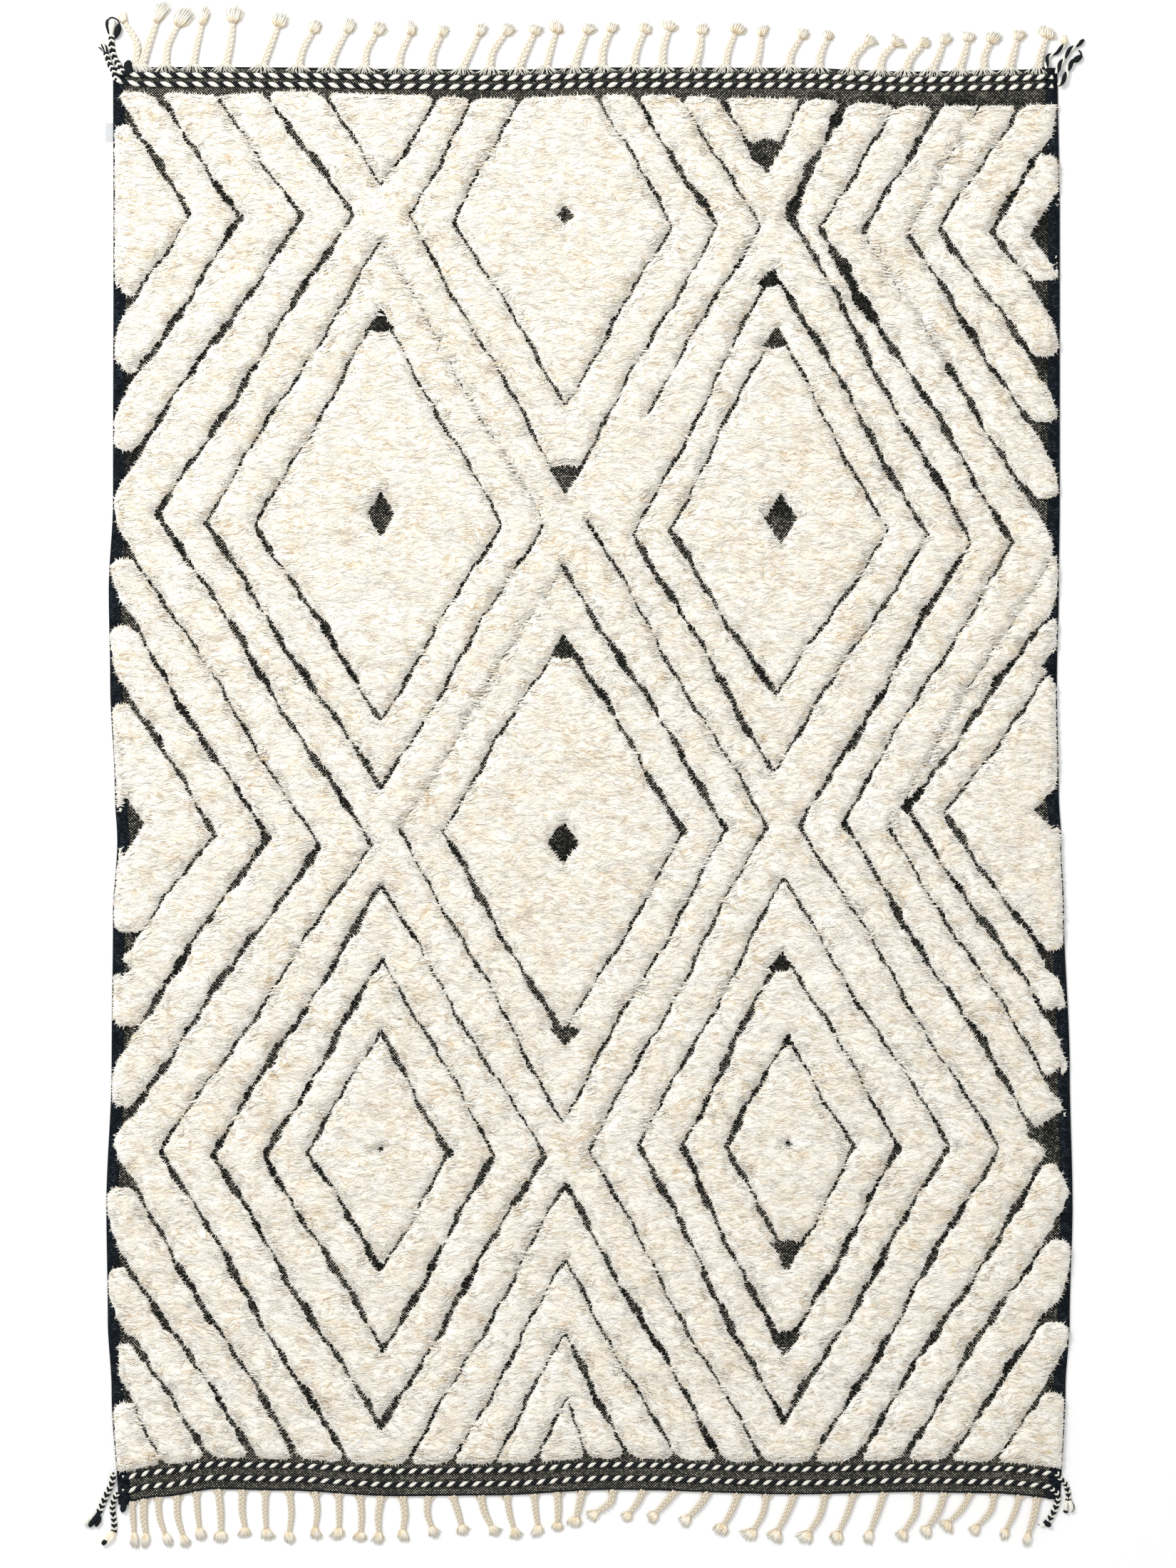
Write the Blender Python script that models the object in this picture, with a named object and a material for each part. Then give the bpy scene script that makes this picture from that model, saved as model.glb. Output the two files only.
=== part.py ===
"""Beni Ourain rug, 2.0 by 3.0 m: cream knotted pile in nested lozenges on a black flat-woven ground.

Metres, +Z up, lying on z = 0 with the origin at the middle of its footprint. +Y runs along the
length, towards the end whose braids lean sideways. The pile is one lumpy slab with its ground, cut
into bands by bare channels. Selvedges, twined rows, fringes, corner braids and label are pieces of
their own, each a gap away from the next.
"""

import math
import random
from collections import namedtuple

import bmesh
import bpy
from mathutils import Matrix, Vector
from mathutils.geometry import delaunay_2d_cdt

CM = 0.01
GAP = 0.0003

# Heights above the floor.
GROUND_TOP = 0.005
PILE_DEPTH = 0.019
SHOULDER_SHARE = 0.86
LUMP = 0.0022
SIDE_CLEAR = 0.002

# Plan sizes of the field.
CHANNEL_STEP = 0.083
RIM_STEP = 0.024
LOCK_REACH = 0.007
WALL_RUN = 0.007
KNOT_STEP = 0.100
FIRST_KNOT = 0.050
FOOT_RUN = 0.004
LUMP_PITCH = 0.060
LUMP_ROOM = 0.010
SMALLEST_GAP = 0.0005
WHOLE_HULL = 0
CREST_ROOM = 0.008

SELVEDGE_WIDTH = 0.016
SELVEDGE_HEIGHT = 0.008
CORNER_LENGTH = 0.038

TWINE_WIDTH = 0.014
TWINE_HEIGHT = 0.0045
BEAD_PITCH = 0.032
BEAD_SLANT = 0.005
BOTTOM_PILE_INSET = 0.068

FRINGE_STRIP = 0.004
BRAID_WIDTH = 0.017
BRAID_HEIGHT = 0.008
NECK_WIDTH = 0.009
TUFT_WIDTH = 0.031
TUFT_HEIGHT = 0.011
TUFT_ROOM = 0.60

LABEL_LENGTH = 0.040
LABEL_REACH = 0.017
LABEL_THICKNESS = 0.001
LABEL_TUCK = 0.0012
LABEL_Y = 1.366

# The woven edges, which wander as on any handmade rug: the long sides by height up the rug, and
# the two ends, with the first row of pile at the top, by place across it.
Side = namedtuple("Side", "y left right")
SIDES = (
    Side(1.53, -0.996, 0.999),
    Side(1.19, -0.995, 1.004),
    Side(0.59, -0.996, 1.004),
    Side(0.40, -1.005, 1.002),
    Side(0.21, -1.002, 0.998),
    Side(-0.03, -0.992, 1.002),
    Side(-0.13, -0.987, 1.007),
    Side(-0.28, -0.996, 1.013),
    Side(-0.61, -0.999, 1.025),
    Side(-0.90, -1.010, 1.031),
    Side(-1.14, -1.007, 1.025),
    Side(-1.29, -0.999, 1.016),
    Side(-1.55, -0.984, 1.005),
)
End = namedtuple("End", "x top pile bottom")
ENDS = (
    End(-1.02, 1.503, 1.452, -1.535),
    End(-0.89, 1.504, 1.449, -1.516),
    End(-0.78, 1.504, 1.443, -1.500),
    End(-0.63, 1.503, 1.452, -1.503),
    End(-0.40, 1.500, 1.444, -1.515),
    End(-0.19, 1.498, 1.436, -1.513),
    End(0.06, 1.503, 1.445, -1.501),
    End(0.45, 1.502, 1.436, -1.511),
    End(0.69, 1.494, 1.421, -1.506),
    End(0.87, 1.497, 1.421, -1.509),
    End(1.04, 1.503, 1.425, -1.524),
)

# How far in from its end's edge each twined row lies.
Row = namedtuple("Row", "name end inset")
TWINED_ROWS = (
    Row("twine_top_outer", "top", 0.0185),
    Row("twine_top_inner", "top", 0.0375),
    Row("twine_bottom_outer", "bottom", 0.0255),
    Row("twine_bottom_inner", "bottom", 0.0540),
)

# The weaver's chart, in centimetres from the middle of the rug. Each leg of a channel is wide,
# plain, narrow or faint, one letter a leg, a lozenge's legs running clockwise from its top.
LEG_WIDTH = {"w": 0.026, "p": 0.015, "n": 0.010, "f": 0.005}
SWAY = 0.005
SWAY_LENGTH = 0.083
UNEVEN_LENGTHS = (0.031, 0.013)
UNEVEN_SHARES = (0.35, 0.20)
SHARPEST_MITRE = 0.45
PHASE_STEP = 2.4
Lozenge = namedtuple("Lozenge", "name x y up right down left legs")
LOZENGES = (
    Lozenge("upper left, middle ring", -43.0, 54.0, 59.5, 34.5, 56.0, 37.0, "fnpp"),
    Lozenge("upper left, inner ring", -43.0, 53.5, 45.5, 25.5, 41.0, 26.5, "nnpn"),
    Lozenge("upper right, middle ring", 40.0, 51.5, 56.0, 32.5, 50.0, 29.5, "pnnp"),
    Lozenge("upper right, inner ring", 40.5, 52.5, 42.5, 23.5, 35.0, 22.5, "nnnn"),
    Lozenge("middle, outer ring", -4.5, -10.5, 55.5, 34.5, 62.0, 34.5, "pwnf"),
    Lozenge("middle, inner ring", -4.5, -11.0, 41.0, 25.5, 43.5, 25.5, "ppnf"),
    Lozenge("lower left, inner ring", -43.0, -79.0, 25.5, 14.5, 24.5, 15.5, "nnnp"),
    Lozenge("lower left, middle ring", -42.5, -79.5, 41.5, 23.5, 41.0, 25.0, "npnp"),
    Lozenge("lower left, outer ring", -43.0, -79.5, 57.0, 34.5, 57.5, 35.5, "nppp"),
    Lozenge("lower right, inner ring", 43.0, -77.5, 23.0, 14.0, 25.5, 13.0, "pnnp"),
    Lozenge("lower right, middle ring", 42.0, -77.5, 41.0, 24.5, 44.0, 21.5, "npnn"),
    Lozenge("lower right, outer ring", 42.0, -77.5, 56.5, 35.0, 58.5, 30.5, "ppnp"),
)
Line = namedtuple("Line", "name legs corners")
LINES = (
    Line("top left 1", "pn", ((-95, 138.5), (-83.5, 119), (-93.5, 103.5))),
    Line("top left 2", "pp", ((-90, 143.5), (-72.5, 118.5), (-92.5, 88.5))),
    Line("top left 3", "np", ((-77, 143), (-59.5, 119), (-93, 71))),
    Line("left zigzag", "nnpnp", (
        (-67, 144.5), (-49, 119), (-90, 56), (-45, -14), (-89.5, -78.5), (-49.5, -145))),
    Line("top V left", "pp", ((-55.5, 145), (-43, 125.5), (-31.5, 143))),
    Line("top V right", "pw", ((28.5, 144.5), (38.5, 128.5), (46.5, 143.5))),
    Line("top middle outer", "nppp", ((-23.5, 143.5), (-37, 119), (-4, 60.5), (28, 117), (10.5, 144.5))),
    Line("top middle inner", "nppn", ((-14, 143.5), (-27.5, 117.5), (-4, 79), (18.5, 116.5), (3, 143.5))),
    Line("top middle right", "pn", ((20, 145), (37, 116.5), (13.5, 77.5))),
    Line("right of middle", "ppnp", ((0.5, 54.5), (38.5, -10), (1, -78.5), (38, -145))),
    Line("right zigzag", "wppnp", (
        (55, 143), (43.5, 119), (81.5, 50), (45.5, -10), (87.5, -78), (47.5, -145))),
    Line("right zigzag 2", "nwnp", ((66, 142), (49.5, 116.5), (90.5, 50), (54.5, -9), (91.5, -68.5))),
    Line("top right 3", "pp", ((74, 141), (59, 115.5), (94, 59.5))),
    Line("top right 4", "fn", ((83, 141), (68, 115), (94, 75.5))),
    Line("top right 5", "np", ((91, 141), (75, 116.5), (95.5, 90.5))),
    Line("top right 6", "nn", ((98, 137), (86, 115.5), (93, 106))),
    Line("left 1", "pn", ((-95, 15.5), (-78, -12), (-92, -30))),
    Line("left 2", "pp", ((-95.5, 32.5), (-67, -12.5), (-93, -50))),
    Line("left 3", "np", ((-95.5, 48), (-56, -14), (-95, -69))),
    Line("right 3", "fn", ((99, 48), (64, -10), (97.5, -63))),
    Line("right 4", "pp", ((99, 35.5), (68, -6), (97.5, -50))),
    Line("right 5", "np", ((98, 22), (76, -7), (97, -37.5))),
    Line("bottom left 5", "p", ((-96.5, -84.5), (-59.5, -145))),
    Line("bottom left 6", "n", ((-97.5, -100.5), (-68.5, -145))),
    Line("bottom left 7", "p", ((-98, -115.5), (-78, -145))),
    Line("bottom left 8", "n", ((-96.5, -130.5), (-88.5, -145))),
    Line("bottom right 5", "p", ((97.5, -80.5), (56.5, -145))),
    Line("bottom right 6", "p", ((101, -91.5), (66, -145))),
    Line("bottom right 7", "p", ((100.5, -109.5), (75.5, -145))),
    Line("bottom right 8", "n", ((100, -124.5), (85.5, -145))),
    Line("bottom middle 1", "np", ((-37.5, -145), (-4, -85.5), (29.5, -145))),
    Line("bottom middle 2", "nn", ((-28.5, -145), (-4, -101.5), (20, -145))),
    Line("bottom middle 3", "np", ((-19.5, -145), (-4, -117), (10.5, -145))),
    Line("bottom middle 4", "nn", ((-10.5, -145), (-3.5, -130.5), (1.5, -145))),
)

# Patches of bare ground: the mark in the middle of each lozenge, the dark tips where a ring turns,
# and the notches between band ends at the sides. Reach in each direction, in centimetres.
Bare = namedtuple("Bare", "name x y left right up down")
BARE_PATCHES = (
    Bare("mark, top middle", -4.0, 119.0, 1.8, 1.8, 2.2, 2.2),
    Bare("mark, upper left", -43.0, 56.0, 3.0, 3.0, 5.0, 5.0),
    Bare("mark, upper right", 41.5, 55.0, 3.5, 3.5, 5.5, 5.5),
    Bare("mark, middle", -4.5, -13.5, 3.5, 3.5, 4.6, 4.6),
    Bare("mark, lower left", -43.0, -78.0, 0.9, 0.9, 0.9, 0.9),
    Bare("mark, lower right", 43.0, -77.0, 0.9, 0.9, 0.9, 0.9),
    Bare("tip, top V right", 38.5, 134.0, 4.0, 4.0, 1.5, 6.0),
    Bare("tip, top middle outer", -4.0, 65.5, 3.6, 3.6, 1.0, 5.5),
    Bare("tip, upper left inner", -43.0, 95.0, 3.2, 3.2, 3.5, 0.8),
    Bare("tip, upper right middle", 39.0, 104.5, 2.8, 2.8, 3.0, 0.8),
    Bare("tip, upper right inner", 40.0, 91.5, 2.6, 2.6, 3.2, 0.8),
    Bare("tip, middle inner", -4.5, 26.0, 2.6, 2.6, 3.0, 0.8),
    Bare("tip, lower right middle", 41.5, -40.0, 3.0, 3.0, 3.2, 0.8),
    Bare("tip, lower right inner", 43.0, -98.0, 4.0, 4.0, 0.8, 4.0),
    Bare("tip, lower right foot", 43.0, -117.0, 3.0, 3.0, 0.8, 4.2),
    Bare("notch, left 1", -98.0, 100.5, 0.8, 2.4, 3.0, 3.2),
    Bare("notch, left 2", -98.0, 84.5, 0.8, 2.4, 3.0, 3.0),
    Bare("notch, left 3", -98.0, 65.5, 0.8, 2.6, 2.8, 2.8),
    Bare("notch, left 4", -98.0, 49.5, 0.8, 2.2, 2.2, 2.4),
    Bare("notch, left 5", -97.0, -9.5, 0.8, 4.2, 6.2, 6.5),
    Bare("notch, left 6", -97.6, -40.0, 0.8, 2.0, 2.0, 2.0),
    Bare("notch, left 7", -97.6, -54.0, 0.8, 2.0, 1.6, 1.6),
    Bare("notch, left 8", -98.0, -71.0, 0.8, 2.6, 2.4, 2.6),
    Bare("notch, right 1", 98.8, 115.0, 4.6, 0.8, 12.5, 9.0),
    Bare("notch, right 2", 98.8, 95.0, 2.8, 0.8, 4.4, 4.4),
    Bare("notch, right 3", 98.8, 80.0, 2.6, 0.8, 4.2, 4.4),
    Bare("notch, right 4", 98.8, 63.5, 3.0, 0.8, 4.0, 4.6),
    Bare("notch, right 5", 98.6, 24.0, 2.4, 0.8, 2.2, 2.2),
    Bare("notch, right 6", 98.8, -6.5, 4.0, 0.8, 4.0, 4.0),
    Bare("notch, right 7", 99.6, -39.8, 2.4, 0.8, 2.0, 2.0),
    Bare("notch, right 8", 99.8, -49.8, 2.4, 0.8, 2.0, 2.0),
    Bare("notch, right 9", 100.2, -63.0, 2.4, 0.8, 2.2, 2.2),
    Bare("notch, right 10", 100.8, -75.0, 8.0, 0.8, 5.0, 5.2),
)

# A fringe in stretches across the rug: the room each braid takes, how far it leans, how long its
# braided part and its loose tuft are.
Stretch = namedtuple("Stretch", "x pitch lean braid tuft")
TOP_FRINGE = (
    Stretch(-0.936, 0.055, 0.034, 0.086, 0.052),
    Stretch(-0.805, 0.075, 0.022, 0.084, 0.038),
    Stretch(-0.515, 0.072, 0.030, 0.066, 0.032),
    Stretch(-0.300, 0.066, 0.027, 0.068, 0.030),
    Stretch(-0.174, 0.056, 0.028, 0.066, 0.028),
    Stretch(0.114, 0.068, 0.022, 0.068, 0.028),
    Stretch(0.449, 0.068, 0.020, 0.060, 0.024),
    Stretch(0.591, 0.060, 0.032, 0.052, 0.024),
    Stretch(0.950, 0.056, 0.018, 0.056, 0.028),
)
BOTTOM_FRINGE = (
    Stretch(-0.956, 0.028, 0.006, 0.060, 0.046),
    Stretch(-0.880, 0.040, 0.012, 0.076, 0.034),
    Stretch(-0.723, 0.050, 0.000, 0.080, 0.032),
    Stretch(-0.410, 0.050, -0.003, 0.068, 0.030),
    Stretch(-0.258, 0.055, 0.018, 0.060, 0.034),
    Stretch(-0.120, 0.056, 0.012, 0.064, 0.028),
    Stretch(0.060, 0.066, -0.026, 0.046, 0.028),
    Stretch(0.213, 0.067, -0.038, 0.042, 0.028),
    Stretch(0.380, 0.060, -0.032, 0.074, 0.036),
    Stretch(0.583, 0.066, -0.026, 0.080, 0.032),
    Stretch(0.843, 0.056, -0.042, 0.060, 0.026),
    Stretch(0.955, 0.032, -0.018, 0.066, 0.036),
)
Strand = namedtuple("Strand", "x lean braid tuft bow wide")
FRINGES = {"top": TOP_FRINGE, "bottom": BOTTOM_FRINGE}
FRINGE_SEEDS = {"top": 13, "bottom": 3}
FRINGE_END = 0.972
FRINGE_END_Y = 1.52
ROOT_SHARE = 0.9
KNOT_CUTS = 4
CORNER_Y = {"top": 1.50, "bottom": -1.52}

# Black and white braids at the corners, root to tip, each growing out of the end or the side of
# its corner's bound yarns.
Corner = namedtuple("Corner", "name side end braids")
CORNERS = (
    Corner("corner_braids_top_left", "left", "top", (
        ("end", ((-0.998, 1.538), (-0.999, 1.566), (-0.996, 1.586), (-0.993, 1.610))),
        ("side", ((-1.007, 1.527), (-1.019, 1.547), (-1.028, 1.563))),
    )),
    Corner("corner_braids_top_right", "right", "top", (
        ("end", ((1.003, 1.527), (1.028, 1.548), (1.056, 1.564))),
        ("side", ((1.012, 1.489), (1.028, 1.508), (1.047, 1.520), (1.045, 1.536))),
    )),
    Corner("corner_braids_bottom_left", "left", "bottom", (
        ("side", ((-1.014, -1.524), (-1.030, -1.552), (-1.040, -1.567), (-1.055, -1.569))),
        ("end", ((-0.996, -1.552), (-0.994, -1.574), (-1.002, -1.597), (-1.020, -1.613))),
    )),
    Corner("corner_braids_bottom_right", "right", "bottom", (
        ("side", ((1.016, -1.484), (1.022, -1.508), (1.023, -1.534), (1.020, -1.551))),
        ("end", ((1.000, -1.536), (0.990, -1.556), (0.977, -1.572), (0.966, -1.581))),
    )),
)
CORNER_BRAID_WIDTH = 0.014
CORNER_BRAID_HEIGHT = 0.008
CORNER_TIP_WIDTH = 0.016


def between(table, column, at):
    """The column's value at a place between two rows, eased so that the edge has no corners."""
    rows = sorted(table, key=lambda row: row[0])
    if at <= rows[0][0]:
        return getattr(rows[0], column)
    for low, high in zip(rows, rows[1:]):
        if at <= high[0]:
            share = (at - low[0]) / (high[0] - low[0])
            share = share * share * (3 - 2 * share)
            return getattr(low, column) * (1 - share) + getattr(high, column) * share
    return getattr(rows[-1], column)


def fringe_strands(end):
    """Place, lean and lengths of each braid of a fringe, in order across the rug."""
    stretches = FRINGES[end]
    rolls = random.Random(FRINGE_SEEDS[end])
    x = stretches[0].x
    while x < FRINGE_END:
        pitch = between(stretches, "pitch", x)
        lean = between(stretches, "lean", x) + rolls.uniform(-0.12, 0.12) * pitch
        braid = between(stretches, "braid", x) * rolls.uniform(0.92, 1.08)
        tuft = between(stretches, "tuft", x) * rolls.uniform(0.85, 1.15)
        bow = rolls.uniform(-0.10, 0.10) * pitch
        wide = min(TUFT_WIDTH * rolls.uniform(0.75, 1.15), TUFT_ROOM * pitch)
        yield Strand(x, lean, braid, tuft, bow, wide)
        x += pitch * rolls.uniform(0.88, 1.09)


def side_x(side, y):
    """The cloth's outer edge, straight between knots so that neighbouring pieces share its corners."""
    low = math.floor((y - FIRST_KNOT) / KNOT_STEP) * KNOT_STEP + FIRST_KNOT
    share = (y - low) / KNOT_STEP
    return between(SIDES, side, low) * (1 - share) + between(SIDES, side, low + KNOT_STEP) * share


def side_stations(start, stop):
    """Both ends of a stretch of side and the knots between them, in order from start to stop."""
    low, high = min(start, stop), max(start, stop)
    first = math.floor((low - FIRST_KNOT) / KNOT_STEP) * KNOT_STEP + FIRST_KNOT
    knots = [first + number * KNOT_STEP for number in range(1, 1 + round((high - low) / KNOT_STEP) + 1)]
    found = [low] + [knot for knot in knots if low + GAP < knot < high - GAP] + [high]
    return found if start < stop else found[::-1]


def field_x(side, y):
    """The edge of the ground cloth, where the selvedge starts."""
    inward = 1 if side == "left" else -1
    return side_x(side, y) + inward * (SELVEDGE_WIDTH + GAP)


def fringe_cuts(end):
    """Where the strip of a fringe is divided: both sides of every braid's root, and the strip's two ends."""
    outward = 1 if end == "top" else -1
    cuts = [field_x("left", outward * FRINGE_END_Y) + 0.001]
    for strand in fringe_strands(end):
        cuts += [strand.x - BRAID_WIDTH * ROOT_SHARE / 2, strand.x + BRAID_WIDTH * ROOT_SHARE / 2]
    return cuts + [field_x("right", outward * FRINGE_END_Y) - 0.001]


def end_knots(end):
    """The corners of an end's edge: some of its fringe's cuts, and one beyond the cloth on either side."""
    cuts = fringe_cuts(end)
    return [-1.1] + cuts[1:-1:KNOT_CUTS] + [1.1]


def end_y(end, x):
    """The cloth's edge at an end, straight between knots that the fringe's strip shares."""
    knots = END_KNOTS[end]
    low, high = next(pair for pair in zip(knots, knots[1:]) if x <= pair[1])
    share = (x - low) / (high - low)
    return between(ENDS, end, low) * (1 - share) + between(ENDS, end, high) * share


def pile_end_y(end, x):
    if end == "top":
        return between(ENDS, "pile", x)
    return end_y("bottom", x) + BOTTOM_PILE_INSET


def stations(start, stop, step):
    """Evenly spaced places from start to stop, both included."""
    count = max(1, round(abs(stop - start) / step))
    return [start + (stop - start) * number / count for number in range(count + 1)]


def lozenge_line(shape):
    """A lozenge of the chart as a closed line."""
    top = (shape.x, shape.y + shape.up)
    right = (shape.x + shape.right, shape.y)
    bottom = (shape.x, shape.y - shape.down)
    left = (shape.x - shape.left, shape.y)
    return Line(shape.name, shape.legs, (top, right, bottom, left, top))


def channel_samples(line, phase):
    """Points along a channel with half its width at each, both wandering as hand knotting does."""
    samples = []
    run = 0.0
    for letter, start, stop in zip(line.legs, line.corners, line.corners[1:]):
        start, stop = Vector(start) * CM, Vector(stop) * CM
        leg = stop - start
        across = Vector((-leg.y, leg.x)).normalized()
        places = stations(0.0, leg.length, CHANNEL_STEP)
        for place in places if not samples else places[1:]:
            share = place / leg.length
            along = run + place
            sway = SWAY * math.sin(along / SWAY_LENGTH + phase) * math.sin(math.pi * share)
            half = LEG_WIDTH[letter] / 2 * (
                1
                + UNEVEN_SHARES[0] * math.sin(along / UNEVEN_LENGTHS[0] + 2 * phase)
                + UNEVEN_SHARES[1] * math.sin(along / UNEVEN_LENGTHS[1] + phase)
            )
            samples.append((start + leg * share + across * sway, half))
        run += leg.length
    return samples


def beside(samples, closed, extra):
    """The two lines that run beside a channel, mitred where it turns."""
    points = [point for point, _ in samples]
    sides = [[], []]
    last = len(points) - 1
    for number, (point, half) in enumerate(samples):
        before = points[number - 1] if number else (points[last - 1] if closed else point)
        after = points[number + 1] if number < last else (points[1] if closed else point)
        into = (point - before).normalized() if before != point else (after - point).normalized()
        out = (after - point).normalized() if after != point else into
        normal = Vector((-(into + out).y, (into + out).x)).normalized()
        mitre = 1 / max(SHARPEST_MITRE, normal.dot(Vector((-into.y, into.x))))
        for side, sign in zip(sides, (1, -1)):
            side.append(point + normal * sign * (half + extra) * mitre)
    return sides


def patch_corners(patch, extra):
    """A bare patch's four corners, pushed out by extra."""
    grow = extra * 1.3
    centre = Vector((patch.x, patch.y)) * CM
    return [
        centre + Vector((-patch.left * CM - grow, 0)),
        centre + Vector((0, patch.up * CM + grow)),
        centre + Vector((patch.right * CM + grow, 0)),
        centre + Vector((0, -patch.down * CM - grow)),
    ]


def outside_patch(point, corners):
    """How far a point lies outside a patch, below zero inside it."""
    worst = -1.0
    for start, stop in zip(corners, corners[1:] + corners[:1]):
        edge = (stop - start).normalized()
        worst = max(worst, edge.y * (point.x - start.x) * -1 + edge.x * (point.y - start.y))
    return worst


def outside_channel(point, samples):
    """How far a point lies from a channel's edge, below zero inside it."""
    nearest = 1.0
    for (start, start_half), (stop, stop_half) in zip(samples, samples[1:]):
        leg = stop - start
        share = min(1.0, max(0.0, (point - start).dot(leg) / leg.length_squared))
        half = start_half + (stop_half - start_half) * share
        nearest = min(nearest, (point - start - leg * share).length - half)
    return nearest


def inside_rim(point):
    """How far a point lies inside the line of the pile's outermost lock tips."""
    steeper = WALL_RUN / FOOT_RUN
    return min(
        point.x - field_x("left", point.y) - SIDE_CLEAR,
        field_x("right", point.y) - SIDE_CLEAR - point.x,
        (pile_end_y("top", point.x) - point.y) * steeper,
        (point.y - pile_end_y("bottom", point.x)) * steeper,
    )


def lumps(point):
    """The pile's slow swell, from the way its knots crowd."""
    return LUMP * (
        math.sin(point.x / 0.041 + 1.3 * math.sin(point.y / 0.067))
        + 0.7 * math.sin(point.y / 0.029 + 1.7 * math.sin(point.x / 0.053))
    )


def clamp_to_field(point):
    """Keeps a channel's end on the cloth, just short of its edge."""
    keep = 0.004
    x = min(max(point.x, field_x("left", point.y) + keep), field_x("right", point.y) - keep)
    low, high = pile_end_y("bottom", x) - FOOT_RUN + 0.001, pile_end_y("top", x) + FOOT_RUN - 0.001
    return Vector((x, min(max(point.y, low), high)))


def rim_lines():
    """The zigzag of lock tips round the pile, and the line at each end where its foot meets the ground."""
    rim = []
    for side, start, stop in (("left", "bottom", "top"), ("right", "top", "bottom")):
        inward = 1 if side == "left" else -1
        corner_x = field_x(side, 0.0) + inward * 0.02
        low, high = pile_end_y(start, corner_x), pile_end_y(stop, corner_x)
        for number, y in enumerate(stations(low, high, RIM_STEP)[1:-1]):
            back = SIDE_CLEAR + (LOCK_REACH if number % 2 else 0.0)
            rim.append(Vector((field_x(side, y) + inward * back, y)))
        other = "right" if side == "left" else "left"
        near, far = field_x(side, high) + inward * SIDE_CLEAR, field_x(other, high) - inward * SIDE_CLEAR
        across = stations(near, far, RIM_STEP)
        outward = 1 if stop == "top" else -1
        for number, x in enumerate(across):
            back = LOCK_REACH if number % 2 else 0.0
            rim.append(Vector((x, pile_end_y(stop, x) - outward * back)))
    feet = []
    for end, outward in (("top", 1), ("bottom", -1)):
        y = pile_end_y(end, 0.0) + outward * FOOT_RUN
        near, far = field_x("left", y) + SIDE_CLEAR, field_x("right", y) - SIDE_CLEAR
        xs = [near] + [knot for knot in END_KNOTS[end] if near + GAP < knot < far - GAP] + [far]
        feet.append([Vector((x, pile_end_y(end, x) + outward * FOOT_RUN)) for x in xs])
    return rim, feet


def cloth_corner(side, end):
    """A corner of the ground cloth, inside its selvedge."""
    x = field_x(side, CORNER_Y[end])
    y = end_y(end, x)
    return Vector((field_x(side, y), y))


def cloth_outline():
    """The ground cloth seen from above, anticlockwise."""
    outline = []
    for side, start, stop in (("left", "top", "bottom"), ("right", "bottom", "top")):
        other = "right" if side == "left" else "left"
        high, low = cloth_corner(side, start), cloth_corner(side, stop)
        outline += [Vector((field_x(side, y), y)) for y in side_stations(high.y, low.y)[:-1]]
        near, far = sorted((low.x, cloth_corner(other, stop).x))
        across = [near] + [knot for knot in END_KNOTS[stop] if near + GAP < knot < far - GAP] + [far]
        if side == "right":
            across.reverse()
        outline += [Vector((x, end_y(stop, x))) for x in across[:-1]]
    return outline


class Plan:
    """Points and lines seen from above, with the points that must lie on bare ground marked."""

    def __init__(self):
        self.points = []
        self.edges = []
        self.bare = set()
        self.bare_edges = set()

    def add_line(self, points, bare, closed=False):
        first = len(self.points)
        self.points += points
        numbers = list(range(first, len(self.points)))
        first_edge = len(self.edges)
        self.edges += list(zip(numbers, numbers[1:]))
        if closed:
            self.edges.append((numbers[-1], first))
        if bare:
            self.bare.update(numbers)
            self.bare_edges.update(range(first_edge, len(self.edges)))


def build_plan(channels, patches):
    """Every line of the field's relief and a sparse scatter of points that give the pile its lumps."""
    plan = Plan()
    outline = cloth_outline()
    plan.add_line(outline, True, closed=True)
    rim, feet = rim_lines()
    plan.add_line(rim, False, closed=True)
    for foot in feet:
        plan.add_line(foot, True)
    for samples, closed in channels:
        for extra, bare in ((0.0, True), (WALL_RUN, False)):
            for side in beside(samples, closed, extra):
                side = side[:-1] if closed else [clamp_to_field(point) for point in side]
                plan.add_line(side, bare, closed=closed)
    for patch in patches:
        for extra, bare in ((0.0, True), (WALL_RUN, False)):
            corners = [clamp_to_field(point) for point in patch_corners(patch, extra)]
            plan.add_line(corners, bare, closed=True)
    row_step = LUMP_PITCH * math.sin(math.pi / 3)
    for row, y in enumerate(stations(-1.42, 1.42, row_step)):
        for x in stations(-0.97 + (row % 2) * LUMP_PITCH / 2, 0.98, LUMP_PITCH):
            point = Vector((x, y))
            if pile_share(point, channels, patches, LUMP_ROOM) >= 1.0:
                plan.add_line([point], False)
    return plan, outline


def pile_share(point, channels, patches, room=0.0):
    """How much of the pile's full depth stands at a point: 0 on bare ground, 1 a wall's run away from it."""
    clear = inside_rim(point) + WALL_RUN
    for samples, _ in channels:
        if clear > room:
            clear = min(clear, outside_channel(point, samples))
    for patch in patches:
        clear = min(clear, outside_patch(point, patch_corners(patch, 0.0)))
    return min(1.0, max(0.0, (clear - room) / WALL_RUN))


def point_in(outline, point):
    """Whether a point lies inside the outline, by counting the sides it is left of."""
    inside = False
    for start, stop in zip(outline, outline[1:] + outline[:1]):
        if (start.y > point.y) != (stop.y > point.y):
            cross_x = start.x + (point.y - start.y) * (stop.x - start.x) / (stop.y - start.y)
            if point.x < cross_x:
                inside = not inside
    return inside


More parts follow.
